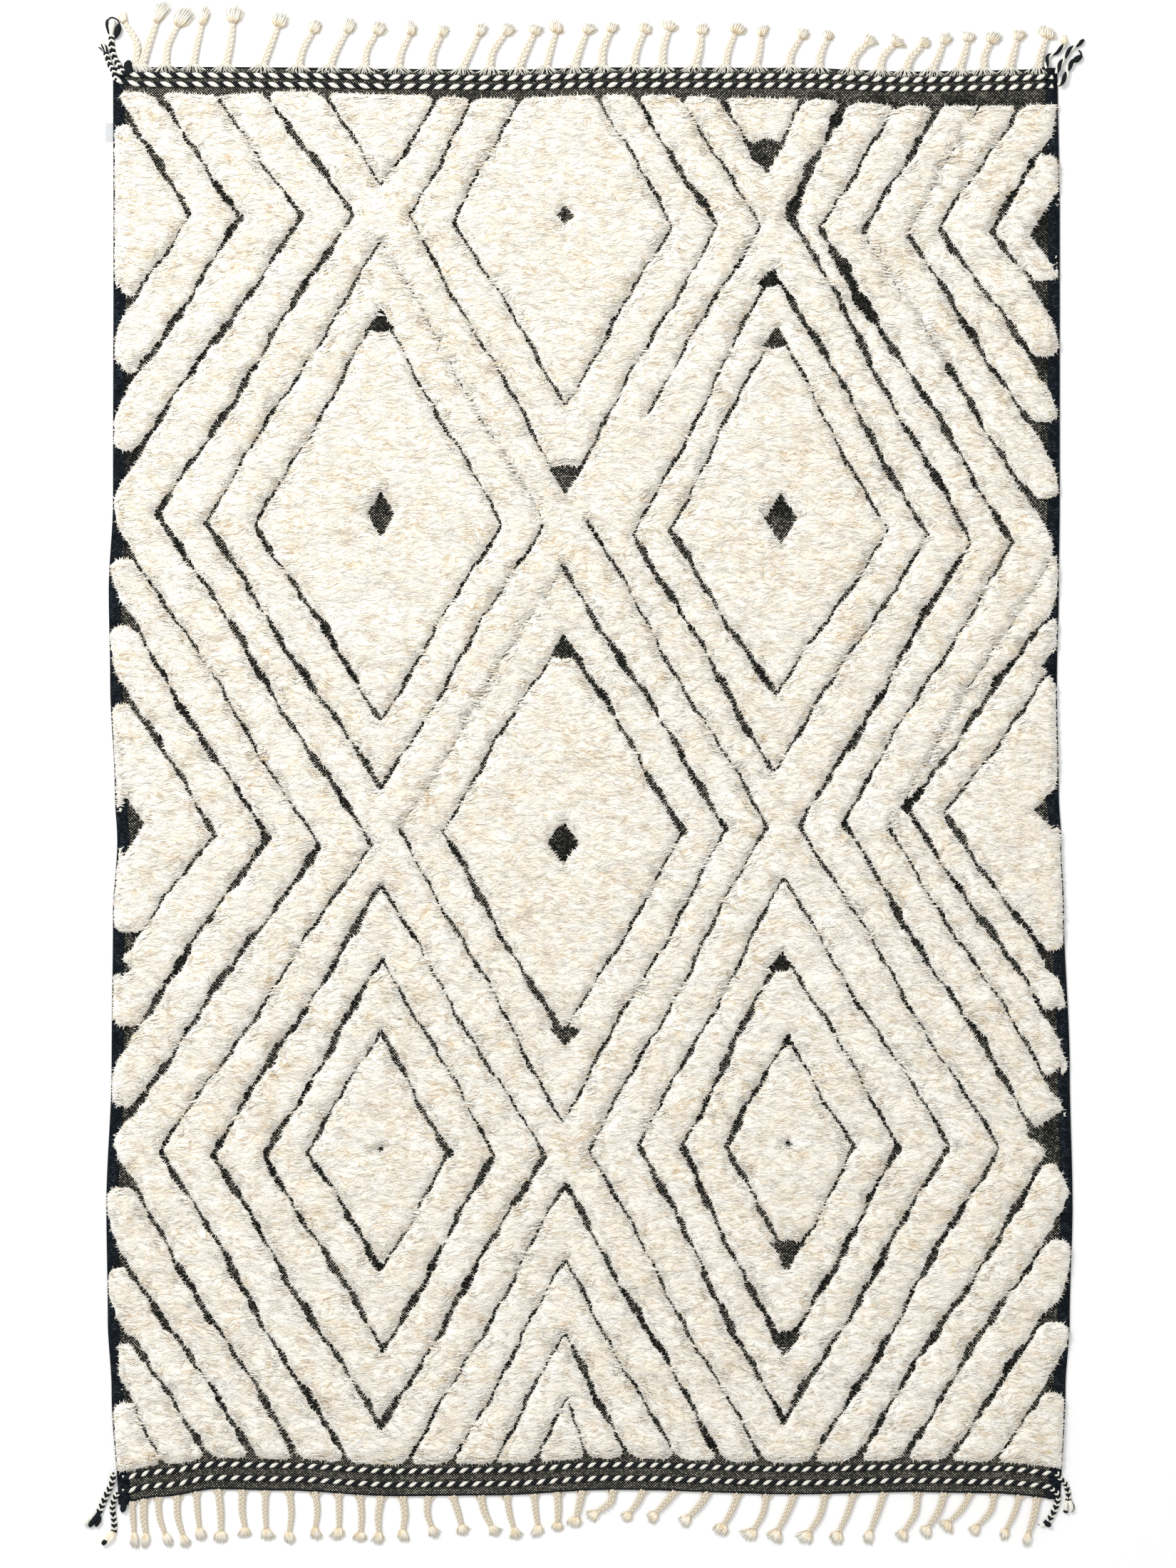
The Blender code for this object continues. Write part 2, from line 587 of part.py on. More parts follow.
def make_material(name, colour, roughness):
    material = bpy.data.materials.new(name)
    material.use_nodes = True
    shader = material.node_tree.nodes["Principled BSDF"]
    shader.inputs["Base Color"].default_value = (*colour, 1.0)
    shader.inputs["Roughness"].default_value = roughness
    shader.inputs["Metallic"].default_value = 0.0
    return material


def add_part(collection, name, bm, material):
    """Turns a finished bmesh into a named object with outward faces."""
    bmesh.ops.recalc_face_normals(bm, faces=bm.faces[:])
    mesh = bpy.data.meshes.new(name)
    bm.to_mesh(mesh)
    bm.free()
    mesh.materials.append(material)
    part = bpy.data.objects.new(name, mesh)
    collection.objects.link(part)
    return part


def build_field(collection, material):
    """Ground cloth and pile in one solid: the plan is triangulated, raised, and closed with a flat back."""
    lines = [lozenge_line(shape) for shape in LOZENGES] + list(LINES)
    channels = [
        (channel_samples(line, PHASE_STEP * number), line.corners[0] == line.corners[-1])
        for number, line in enumerate(lines)
    ]
    plan, outline = build_plan(channels, BARE_PATCHES)
    flat, edges, faces, from_points, from_edges, _ = delaunay_2d_cdt(
        plan.points, plan.edges, [], WHOLE_HULL, SMALLEST_GAP
    )
    bare = {number for number, came_from in enumerate(from_points) if plan.bare.intersection(came_from)}
    for edge, came_from in zip(edges, from_edges):
        if plan.bare_edges.intersection(came_from):
            bare.update(edge)
    bm = bmesh.new()
    verts = []
    for number, point in enumerate(flat):
        share = 0.0 if number in bare else pile_share(point, channels, BARE_PATCHES)
        on_crest = share >= 1.0 and pile_share(point, channels, BARE_PATCHES, CREST_ROOM) >= 1.0
        crest = 1.0 if on_crest else SHOULDER_SHARE
        height = GROUND_TOP + share * (PILE_DEPTH * crest + lumps(point))
        verts.append(bm.verts.new((point.x, point.y, height)))
    for face in faces:
        middle = sum((flat[number] for number in face), Vector((0, 0))) / 3
        if point_in(outline, middle):
            bm.faces.new([verts[number] for number in face])
    loose = [vert for vert in bm.verts if not vert.link_faces]
    bmesh.ops.delete(bm, geom=loose, context="VERTS")
    rim_edges = [edge for edge in bm.edges if edge.is_boundary]
    walls = bmesh.ops.extrude_edge_only(bm, edges=rim_edges)["geom"]
    foot_edges = [item for item in walls if isinstance(item, bmesh.types.BMEdge)]
    for vert in {item for item in walls if isinstance(item, bmesh.types.BMVert)}:
        vert.co.z = 0.0
    bmesh.ops.contextual_create(bm, geom=foot_edges)
    bmesh.ops.triangulate(bm, faces=[face for face in bm.faces if len(face.verts) > 4])
    return add_part(collection, "rug_field", bm, material)


def loft(bm, rings):
    """A closed tube through rings of like corner counts, with both ends capped."""
    loops = [[bm.verts.new(corner) for corner in ring] for ring in rings]
    for low, high in zip(loops, loops[1:]):
        for number in range(len(low)):
            after = (number + 1) % len(low)
            bm.faces.new((low[number], low[after], high[after], high[number]))
    bm.faces.new(loops[0])
    bm.faces.new(list(reversed(loops[-1])))


def build_selvedge(collection, side, material):
    """Black yarn wrapped round the last warps: a low rounded roll along the whole side."""
    sign = 1 if side == "left" else -1
    top = end_y("top", side_x(side, 1.5)) - CORNER_LENGTH - GAP
    bottom = end_y("bottom", side_x(side, -1.5)) + CORNER_LENGTH + GAP
    profile = ((0.15, 0.0), (0.99, 0.0), (1.0, 0.45), (0.78, 1.0), (0.28, 1.0), (0.0, 0.40))
    rings = []
    for y in side_stations(bottom, top):
        edge = side_x(side, y)
        rings.append([
            (edge + sign * across * SELVEDGE_WIDTH, y, up * SELVEDGE_HEIGHT) for across, up in profile
        ])
    bm = bmesh.new()
    loft(bm, rings)
    return add_part(collection, f"selvedge_{side}", bm, material)


def build_twined_row(collection, row, material):
    """Two yarns twisted over the weft: a low ridge of slanted beads along one end."""
    outward = 1 if row.end == "top" else -1
    low_z = GROUND_TOP + GAP
    inset = BEAD_SLANT + 0.002
    start, stop = field_x("left", 1.5 * outward) + inset, field_x("right", 1.5 * outward) - inset
    bm = bmesh.new()
    rings = []
    for number, x in enumerate(stations(start, stop, BEAD_PITCH / 2)):
        swell = 0.72 if number % 2 else 1.0
        half = TWINE_WIDTH / 2 * swell
        y = end_y(row.end, x) - outward * row.inset
        rings.append((
            (x - BEAD_SLANT, y - half, low_z),
            (x + BEAD_SLANT, y + half, low_z),
            (x, y, low_z + TWINE_HEIGHT * swell),
        ))
    loft(bm, rings)
    return add_part(collection, row.name, bm, material)


def draw_out(bm, face, rings):
    """Draws a strand out of a wall face. Each ring has its middle, its direction, a width and a height."""
    middle = face.calc_center_median()
    normal = face.normal.copy()
    across = Vector((-normal.y, normal.x, 0.0))
    marks = [
        (1 if (vert.co - middle).dot(across) > 0 else -1, vert.co.z > middle.z) for vert in face.verts
    ]
    for point, direction, width, height in rings:
        drawn = bmesh.ops.extrude_discrete_faces(bm, faces=[face])["faces"][0]
        sideways = Vector((-direction.y, direction.x)).normalized()
        for vert, (sign, raised) in zip(drawn.verts, marks):
            place = point + sideways * sign * width / 2
            vert.co = (place.x, place.y, height if raised else 0.0)
        face = drawn


def build_fringe(collection, end, material):
    """Warp ends braided in bunches along one end, lying on the floor, roots fused in a narrow strip."""
    outward = 1 if end == "top" else -1
    bm = bmesh.new()
    rings = []
    for x in fringe_cuts(end):
        inner = end_y(end, x) + outward * GAP
        outer = inner + outward * FRINGE_STRIP
        rings.append(((x, inner, 0.0), (x, outer, 0.0), (x, outer, GROUND_TOP), (x, inner, GROUND_TOP)))
    loft(bm, rings)
    bmesh.ops.recalc_face_normals(bm, faces=bm.faces[:])
    walls = {}
    for face in bm.faces:
        if face.normal.y * outward > 0.9:
            walls[round(face.calc_center_median().x, 4)] = face
    for strand in fringe_strands(end):
        face = walls[min(walls, key=lambda place: abs(place - strand.x))]
        root = Vector((strand.x, end_y(end, strand.x) + outward * (GAP + FRINGE_STRIP)))
        neck = root + Vector((strand.lean, outward * strand.braid))
        bend = root + Vector((strand.lean * 0.36 + strand.bow, outward * strand.braid * 0.5))
        out = (neck - bend).normalized()
        draw_out(bm, face, (
            (bend, neck - root, BRAID_WIDTH, BRAID_HEIGHT),
            (neck, out, NECK_WIDTH, BRAID_HEIGHT * 0.8),
            (neck + out * strand.tuft * 0.55, out, strand.wide, TUFT_HEIGHT),
            (neck + out * strand.tuft, out, strand.wide * 0.62, TUFT_HEIGHT * 0.4),
        ))
    return add_part(collection, f"fringe_{end}", bm, material)


def build_corner(collection, corner, material):
    """Bound yarns at a corner of the cloth, worked on into black and white braids that lie free."""
    sign = 1 if corner.side == "left" else -1
    outward = 1 if corner.end == "top" else -1
    edge_y = end_y(corner.end, side_x(corner.side, 1.5 * outward))
    y_in, y_out = edge_y - outward * CORNER_LENGTH, edge_y
    x_in, x_out = side_x(corner.side, y_out) + sign * SELVEDGE_WIDTH, side_x(corner.side, y_out)
    bm = bmesh.new()
    bmesh.ops.create_cube(bm, size=1.0)
    for vert in bm.verts:
        along = y_out if vert.co.y * outward > 0 else y_in
        inner_x = side_x(corner.side, along) + sign * SELVEDGE_WIDTH
        outer_x = side_x(corner.side, along)
        x = outer_x if vert.co.x * sign < 0 else inner_x
        vert.co = (x, along, SELVEDGE_HEIGHT if vert.co.z > 0 else 0.0)
    bmesh.ops.recalc_face_normals(bm, faces=bm.faces[:])
    bm.normal_update()
    starts = {
        "end": max(bm.faces, key=lambda face: face.normal.y * outward),
        "side": max(bm.faces, key=lambda face: -face.normal.x * sign),
    }
    for grows_from, points in corner.braids:
        face = starts[grows_from]
        root = face.calc_center_median().xy
        route = [root] + [Vector(point) for point in points]
        rings = []
        for number, point in enumerate(route[1:], 1):
            after = route[number + 1] if number + 1 < len(route) else point
            direction = after - route[number - 1]
            last = number + 1 == len(route)
            width = CORNER_TIP_WIDTH * 0.7 if last else CORNER_BRAID_WIDTH
            rings.append((point, direction, width, CORNER_BRAID_HEIGHT * (0.5 if last else 1.0)))
        draw_out(bm, face, rings)
    return add_part(collection, corner.name, bm, material)


def build_label(collection, material):
    """A blank folded tape sewn in behind the left selvedge, flat on the floor."""
    edge = side_x("left", LABEL_Y)
    bm = bmesh.new()
    bmesh.ops.create_cube(bm, size=1.0)
    for vert in bm.verts:
        y = LABEL_Y + vert.co.y * LABEL_LENGTH
        x = side_x("left", y) + LABEL_TUCK if vert.co.x > 0 else edge - LABEL_REACH
        vert.co = (x, y, LABEL_THICKNESS if vert.co.z > 0 else 0.0)
    return add_part(collection, "label", bm, material)


def settle_on_origin(rug):
    """Moves every piece so that the middle of the whole footprint is at the origin."""
    corners = [vert.co for part in rug.objects for vert in part.data.vertices]
    middle_x = (min(corner.x for corner in corners) + max(corner.x for corner in corners)) / 2
    middle_y = (min(corner.y for corner in corners) + max(corner.y for corner in corners)) / 2
    for part in rug.objects:
        part.data.transform(Matrix.Translation((-middle_x, -middle_y, 0.0)))


END_KNOTS = {end: end_knots(end) for end in FRINGES}


def build_rug():
    for old in list(bpy.data.objects):
        bpy.data.objects.remove(old, do_unlink=True)
    rug = bpy.data.collections.new("beni_ourain_rug")
    bpy.context.scene.collection.children.link(rug)
    cream = make_material("cream_pile", (0.86, 0.80, 0.68), 0.95)
    black = make_material("black_binding", (0.016, 0.018, 0.019), 0.85)
    plied = make_material("black_and_white_twine", (0.35, 0.34, 0.31), 0.85)
    warp = make_material("braided_warp", (0.78, 0.70, 0.56), 0.90)
    tape = make_material("label_tape", (0.92, 0.92, 0.90), 0.70)
    build_field(rug, cream)
    for side in ("left", "right"):
        build_selvedge(rug, side, black)
    for row in TWINED_ROWS:
        build_twined_row(rug, row, plied)
    for end in FRINGES:
        build_fringe(rug, end, warp)
    for corner in CORNERS:
        build_corner(rug, corner, plied)
    build_label(rug, tape)
    settle_on_origin(rug)


build_rug()
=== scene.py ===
import math
import random
from collections import namedtuple

import bmesh
import bpy
import numpy as np
from mathutils import Matrix, Vector
from mathutils.geometry import delaunay_2d_cdt


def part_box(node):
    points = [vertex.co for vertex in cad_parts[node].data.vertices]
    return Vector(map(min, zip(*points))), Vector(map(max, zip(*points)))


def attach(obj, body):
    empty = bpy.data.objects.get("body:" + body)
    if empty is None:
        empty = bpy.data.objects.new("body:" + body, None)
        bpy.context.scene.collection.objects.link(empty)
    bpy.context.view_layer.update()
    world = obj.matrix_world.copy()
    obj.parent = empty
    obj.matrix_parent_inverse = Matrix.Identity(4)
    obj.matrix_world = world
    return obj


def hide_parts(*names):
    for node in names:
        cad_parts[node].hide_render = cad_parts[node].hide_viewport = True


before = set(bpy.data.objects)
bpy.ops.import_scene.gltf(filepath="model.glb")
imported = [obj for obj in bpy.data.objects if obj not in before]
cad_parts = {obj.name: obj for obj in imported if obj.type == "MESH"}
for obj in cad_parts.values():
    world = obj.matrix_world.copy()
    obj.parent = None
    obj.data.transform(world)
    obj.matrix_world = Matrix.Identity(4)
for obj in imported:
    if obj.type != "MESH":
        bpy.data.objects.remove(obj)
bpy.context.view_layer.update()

# The rug's edges. A handmade rug's sides and ends wander, so both are charted: the sides by place up
# the rug, the ends and the first row of pile by place across it. They are in metres from the middle
# of the chart, which the blank label's place fixes in the frame. The pile's charts are in centimetres.
Side = namedtuple("Side", "y left right")
SIDES = (
    Side(1.53, -0.996, 0.999),
    Side(1.19, -0.995, 1.004),
    Side(0.59, -0.996, 1.004),
    Side(0.40, -1.005, 1.002),
    Side(0.21, -1.002, 0.998),
    Side(-0.03, -0.992, 1.002),
    Side(-0.13, -0.987, 1.007),
    Side(-0.28, -0.996, 1.013),
    Side(-0.61, -0.999, 1.025),
    Side(-0.90, -1.010, 1.031),
    Side(-1.14, -1.007, 1.025),
    Side(-1.29, -0.999, 1.016),
    Side(-1.55, -0.984, 1.005),
)
End = namedtuple("End", "x top pile bottom")
ENDS = (
    End(-1.02, 1.503, 1.452, -1.535),
    End(-0.89, 1.504, 1.449, -1.516),
    End(-0.78, 1.504, 1.443, -1.500),
    End(-0.63, 1.503, 1.452, -1.503),
    End(-0.40, 1.500, 1.444, -1.515),
    End(-0.19, 1.498, 1.436, -1.513),
    End(0.06, 1.503, 1.445, -1.501),
    End(0.45, 1.502, 1.436, -1.511),
    End(0.69, 1.494, 1.421, -1.506),
    End(0.87, 1.497, 1.421, -1.509),
    End(1.04, 1.503, 1.425, -1.524),
)
LABEL_Y = 1.366
LABEL_REACH = 0.017


def edge(table, column, at):
    """Where a charted edge runs, eased between the rows of its table."""
    rows = sorted(table, key=lambda row: row[0])
    knots = np.array([row[0] for row in rows])
    values = np.array([getattr(row, column) for row in rows])
    at = np.clip(at, knots[0], knots[-1])
    above = np.clip(np.searchsorted(knots, at, side="right"), 1, len(knots) - 1)
    share = (at - knots[above - 1]) / (knots[above] - knots[above - 1])
    share = share * share * (3 - 2 * share)
    return values[above - 1] * (1 - share) + values[above] * share


def edge_at(table, column, at):
    return float(edge(table, column, at))


label_low, label_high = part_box("label")
CHART_TO_FRAME = Vector((
    label_low.x - edge_at(SIDES, "left", LABEL_Y) + LABEL_REACH,
    (label_low.y + label_high.y) / 2 - LABEL_Y,
    0.0,
))

# The camera hangs straight over the rug, as in a catalogue picture. Its height is the one at which
# the rug's real size fills the picture as it does there, through a long lens.
PICTURE_LENGTH = 3.306
PICTURE_MIDDLE = (0.0075, -0.0105)
SENSOR = 0.036
LENS = 0.100
FIELD_TOP = 0.020
VIEW_REACH = 60.0

camera = bpy.data.objects.new("camera", bpy.data.cameras.new("camera"))
bpy.context.scene.collection.objects.link(camera)
camera.data.sensor_width = SENSOR * 1000
camera.data.lens = LENS * 1000
camera.data.clip_end = VIEW_REACH
camera.location = CHART_TO_FRAME + Vector((*PICTURE_MIDDLE, FIELD_TOP + PICTURE_LENGTH * LENS / SENSOR))
bpy.context.scene.camera = camera


# The ground cloth: one piece of black wool weft on pale warps, a flat weave that shows at the two
# ends, in the channels between the bands of pile and in the bare patches. It lies flat on the floor.
GROUND_LOW = 0.0004
GROUND_TOP = 0.0048
GROUND_COLUMNS = 32
GROUND_ROWS = 48
SELVEDGE_LAP = 0.006
GROUND_WAVE = 0.0003
WARP_PITCH = 0.0056
WEFT_PITCH = 0.0028
BLACK_WOOL = (0.0030, 0.0036, 0.0036, 1.0)
PALE_WARP = (0.84, 0.80, 0.66, 1.0)
HEM_FROM = 1.42
HEM_FADE = 40.0
WEAVE_WANDER = 0.7
SPECK_TAPER = (15.0, 8.0)
FEWEST_SPECKS = 0.22
SPECK_SHARPNESS = 2.8
SPECK_SHOWN = (0.10, 1.10)
HEM_SHOWN = 0.22
HEM_COVERED = 0.75


class Socket:
    """A shader socket that takes part in Python arithmetic, each step adding a Math node."""

    def __init__(self, finish, link):
        self.finish = finish
        self.link = link

    def maths(self, operation, *others):
        return self.finish.node("Math", {"operation": operation}, dict(enumerate((self, *others))))

    def held(self, low=0.0, high=1.0):
        """The value kept between two limits."""
        return self.maths("MAXIMUM", low).maths("MINIMUM", high)

    def __add__(self, other):
        return self.maths("ADD", other)

    def __sub__(self, other):
        return self.maths("SUBTRACT", other)

    def __rsub__(self, other):
        return (self * -1) + other

    def __mul__(self, other):
        return self.maths("MULTIPLY", other)

    def __truediv__(self, other):
        return self.maths("DIVIDE", other)

    __radd__ = __add__
    __rmul__ = __mul__


class Finish:
    """A procedural material under construction."""

    def __init__(self, name, roughness):
        self.material = bpy.data.materials.new(name)
        self.material.use_nodes = True
        self.tree = self.material.node_tree
        self.shader = self.tree.nodes["Principled BSDF"]
        self.shader.inputs["Roughness"].default_value = roughness
        self.shader.inputs["Specular IOR Level"].default_value = 0.05

    def node(self, kind, settings, values, out=0):
        """Adds a node with its settings and socket values and gives one of its outputs."""
        made = self.tree.nodes.new("ShaderNode" + kind)
        for name, value in settings.items():
            if name == "stops":
                self.set_stops(made.color_ramp, value)
            else:
                setattr(made, name, value)
        for name, value in values.items():
            self.feed(made.inputs[name], value)
        return Socket(self, made.outputs[out])

    def set_stops(self, ramp, stops):
        while len(ramp.elements) < len(stops):
            ramp.elements.new(0.5)
        for element, (place, colour) in zip(ramp.elements, stops):
            element.position = place
            element.color = colour

    def feed(self, socket, value):
        if isinstance(value, Socket):
            self.tree.links.new(value.link, socket)
        else:
            socket.default_value = value

    def places(self, scale=(1.0, 1.0, 1.0)):
        """Places on the piece in metres, stretched by scale."""
        at = self.node("TexCoord", {}, {}, out=3)
        return self.node("VectorMath", {"operation": "MULTIPLY"}, {0: at, 1: scale})

    def noise(self, scale, stretch=(1.0, 1.0, 1.0), detail=2.0):
        return self.node(
            "TexNoise", {}, {"Vector": self.places(stretch), "Scale": scale, "Detail": detail}
        )

    def axis(self, vector, number):
        return self.node("SeparateXYZ", {}, {0: vector}, out=number)

    def mix(self, share, first, second):
        return self.node("Mix", {"data_type": "RGBA"}, {0: share, 6: first, 7: second}, out=2)

    def ramp(self, share, *stops):
        return self.node("ValToRGB", {"stops": stops}, {0: share})

    def colour(self, value):
        self.feed(self.shader.inputs["Base Color"], value)

    def bump(self, height, distance):
        bumped = self.node("Bump", {}, {"Height": height, "Distance": distance})
        self.feed(self.shader.inputs["Normal"], bumped)


def flat_weave():
    """Staggered pale specks of warp between black wefts, as fine as the real cloth's."""
    finish = Finish("black flat weave", 0.9)
    at = finish.places()
    wander = (finish.noise(90.0) - 0.5) * WEAVE_WANDER
    across = finish.axis(at, 0) / WARP_PITCH + wander
    along = finish.axis(at, 1) / WEFT_PITCH + wander
    row = along.maths("FLOOR")
    stagger = (row * 0.5).maths("FRACT")
    from_warp = (across + stagger).maths("FRACT") - 0.5
    from_weft = along.maths("FRACT") - 0.5
    reach = from_warp * from_warp * SPECK_TAPER[0] + from_weft * from_weft * SPECK_TAPER[1]
    speck = (1.0 - reach).maths("MAXIMUM", 0.0)
    own = finish.node("TexWhiteNoise", {"noise_dimensions": "2D"}, {
        "Vector": finish.node("CombineXYZ", {}, {0: (across + stagger).maths("FLOOR"), 1: row}),
    })
    covered = ((finish.noise(11.0) - 0.34) * 4.0).held(FEWEST_SPECKS)
    hem = ((finish.axis(at, 1).maths("ABSOLUTE") - HEM_FROM) * HEM_FADE).held()
    covered = covered.maths("MAXIMUM", hem * HEM_COVERED)
    sharp = (speck * SPECK_SHARPNESS).maths("MINIMUM", 1.0)
    shown = sharp * (SPECK_SHOWN[0] + hem * HEM_SHOWN + SPECK_SHOWN[1] * own * own) * covered
    finish.colour(finish.mix(shown.maths("MINIMUM", 1.0), BLACK_WOOL, PALE_WARP))
    finish.bump(speck + finish.noise(700.0) * 0.3, 0.0008)
    return finish.material


def add_piece(name, mesh, materials, replaces=()):
    """Links a finished mesh as a piece of the rug, moved from chart to frame, riding with the rug."""
    mesh.transform(Matrix.Translation(CHART_TO_FRAME))
    for material in materials:
        mesh.materials.append(material)
    piece = bpy.data.objects.new(name, mesh)
    bpy.context.scene.collection.objects.link(piece)
    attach(piece, "root")
    if replaces:
        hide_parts(*replaces)
    return piece


def mesh_from(name, bm):
    bmesh.ops.recalc_face_normals(bm, faces=bm.faces[:])
    mesh = bpy.data.meshes.new(name)
    bm.to_mesh(mesh)
    bm.free()
    return mesh


def build_ground_cloth():
    bm = bmesh.new()
    bmesh.ops.create_grid(bm, x_segments=GROUND_COLUMNS, y_segments=GROUND_ROWS, size=0.5)
    for vert in bm.verts:
        share_x, share_y = vert.co.x + 0.5, vert.co.y + 0.5
        rough_y = 3.0 * share_y - 1.5
        left = edge_at(SIDES, "left", rough_y) + SELVEDGE_LAP
        right = edge_at(SIDES, "right", rough_y) - SELVEDGE_LAP
        x = left + (right - left) * share_x
        bottom, top = edge_at(ENDS, "bottom", x), edge_at(ENDS, "top", x)
        y = bottom + (top - bottom) * share_y
        wave = GROUND_WAVE * math.sin(x / 0.11) * math.sin(y / 0.13)
        vert.co = (x, y, GROUND_TOP + wave)
    bmesh.ops.solidify(bm, geom=bm.faces[:], thickness=GROUND_TOP - GROUND_LOW)
    return mesh_from("ground_cloth", bm)


ground_cloth = add_piece("ground_cloth", build_ground_cloth(), [flat_weave()], ["rug_field"])


# The selvedges: black wool overcast round the last warps of each side, one tight wrap beside the
# next, which makes a low ridged band from corner to corner. The ends of the bands of pile lie over it.
SELVEDGE_WIDTH = 0.027
SELVEDGE_HEIGHT = 0.0075
WRAP_PITCH = 0.0080
RINGS_PER_WRAP = 3
WRAP_DEPTH = 0.10
WRAP_SLANT = 0.003
ROLL_PROFILE = ((0.06, 0.0), (0.98, 0.0), (1.0, 0.60), (0.80, 0.90), (0.5, 1.0), (0.14, 0.88), (0.0, 0.45))


def black_yarn():
    finish = Finish("black overcast wool", 0.85)
    hairs = finish.noise(620.0, (0.22, 1.0, 1.0), 3.0)
    # Near black wool, with painted highlights as blue-grey streaks on the lightest hairs.
    finish.colour(finish.ramp(
        hairs * 0.75 + finish.noise(70.0) * 0.25,
        (0.42, (0.0032, 0.0045, 0.0060, 1.0)), (0.56, (0.010, 0.014, 0.019, 1.0)),
        (0.66, (0.050, 0.062, 0.075, 1.0)),
    ))
    finish.bump(hairs, 0.0008)
    return finish.material


def build_selvedge(side):
    sign = 1 if side == "left" else -1
    low = edge_at(ENDS, "bottom", sign * -0.99)
    high = edge_at(ENDS, "top", sign * -0.99)
    count = round((high - low) / WRAP_PITCH) * RINGS_PER_WRAP
    bm = bmesh.new()
    loops = []
    for number in range(count + 1):
        y = low + (high - low) * number / count
        swell = 1.0 - WRAP_DEPTH * (number % RINGS_PER_WRAP == 0)
        x = edge_at(SIDES, side, y)
        loops.append([
            bm.verts.new((
                x + sign * across * SELVEDGE_WIDTH,
                y + WRAP_SLANT * (across - 0.5) * (0 < number < count),
                up * SELVEDGE_HEIGHT * swell,
            ))
            for across, up in ROLL_PROFILE
        ])
    for below, above in zip(loops, loops[1:]):
        for number in range(len(below)):
            after = (number + 1) % len(below)
            bm.faces.new((below[number], below[after], above[after], above[number]))
    for loop in (loops[0], loops[-1]):
        bm.faces.new(loop)
    mesh = mesh_from(f"overcast_{side}", bm)
    mesh.shade_smooth()
    return mesh


black_wool = black_yarn()
for side in ("left", "right"):
    add_piece(f"overcast_{side}", build_selvedge(side), [black_wool], [f"selvedge_{side}"])


# The pile: cream wool knotted in bands, charted as nested lozenges. Bare channels part the bands, and
# bare patches mark the middle and the tips of the lozenges. A slab of knots carries the long soft
# locks, which lie mostly sideways in ripples and hang over the channels and the sides.
CM = 0.01
MM = 0.001
LEG_WIDTH = {"w": 0.0190, "p": 0.0115, "n": 0.0064, "f": 0.0010}
SWAYS = ((0.0050, 0.083), (0.0022, 0.0190), (0.0012, 0.0075))
UNEVEN = ((0.34, 0.050), (0.34, 0.0170), (0.22, 0.0065))
PHASE_STEP = 2.4
BOTTOM_PILE_INSET = 0.068
Lozenge = namedtuple("Lozenge", "name x y up right down left legs")
LOZENGES = (
    Lozenge("upper left, middle ring", -43.0, 54.0, 59.5, 34.5, 56.0, 37.0, "fnpn"),
    Lozenge("upper left, inner ring", -43.0, 53.5, 45.5, 25.5, 41.0, 26.5, "nnpn"),
    Lozenge("upper right, middle ring", 40.0, 51.5, 56.0, 32.5, 50.0, 29.5, "pnpn"),
    Lozenge("upper right, inner ring", 40.5, 52.5, 42.5, 23.5, 35.0, 22.5, "nnpn"),
    Lozenge("middle, outer ring", -4.5, -10.5, 55.5, 34.5, 62.0, 34.5, "pnnf"),
    Lozenge("middle, inner ring", -4.5, -11.0, 41.0, 25.5, 43.5, 25.5, "pnpn"),
    Lozenge("lower left, inner ring", -43.0, -79.0, 25.5, 14.5, 24.5, 15.5, "pnpn"),
    Lozenge("lower left, middle ring", -42.5, -79.5, 41.5, 23.5, 41.0, 25.0, "nppp"),
    Lozenge("lower left, outer ring", -43.0, -79.5, 57.0, 34.5, 57.5, 35.5, "nppp"),
    Lozenge("lower right, inner ring", 43.0, -77.5, 23.0, 14.0, 25.5, 13.0, "nnpp"),
    Lozenge("lower right, middle ring", 42.0, -77.5, 41.0, 24.5, 44.0, 21.5, "nppp"),
    Lozenge("lower right, outer ring", 42.0, -77.5, 56.5, 35.0, 58.5, 30.5, "nppn"),
)
Line = namedtuple("Line", "name legs corners")
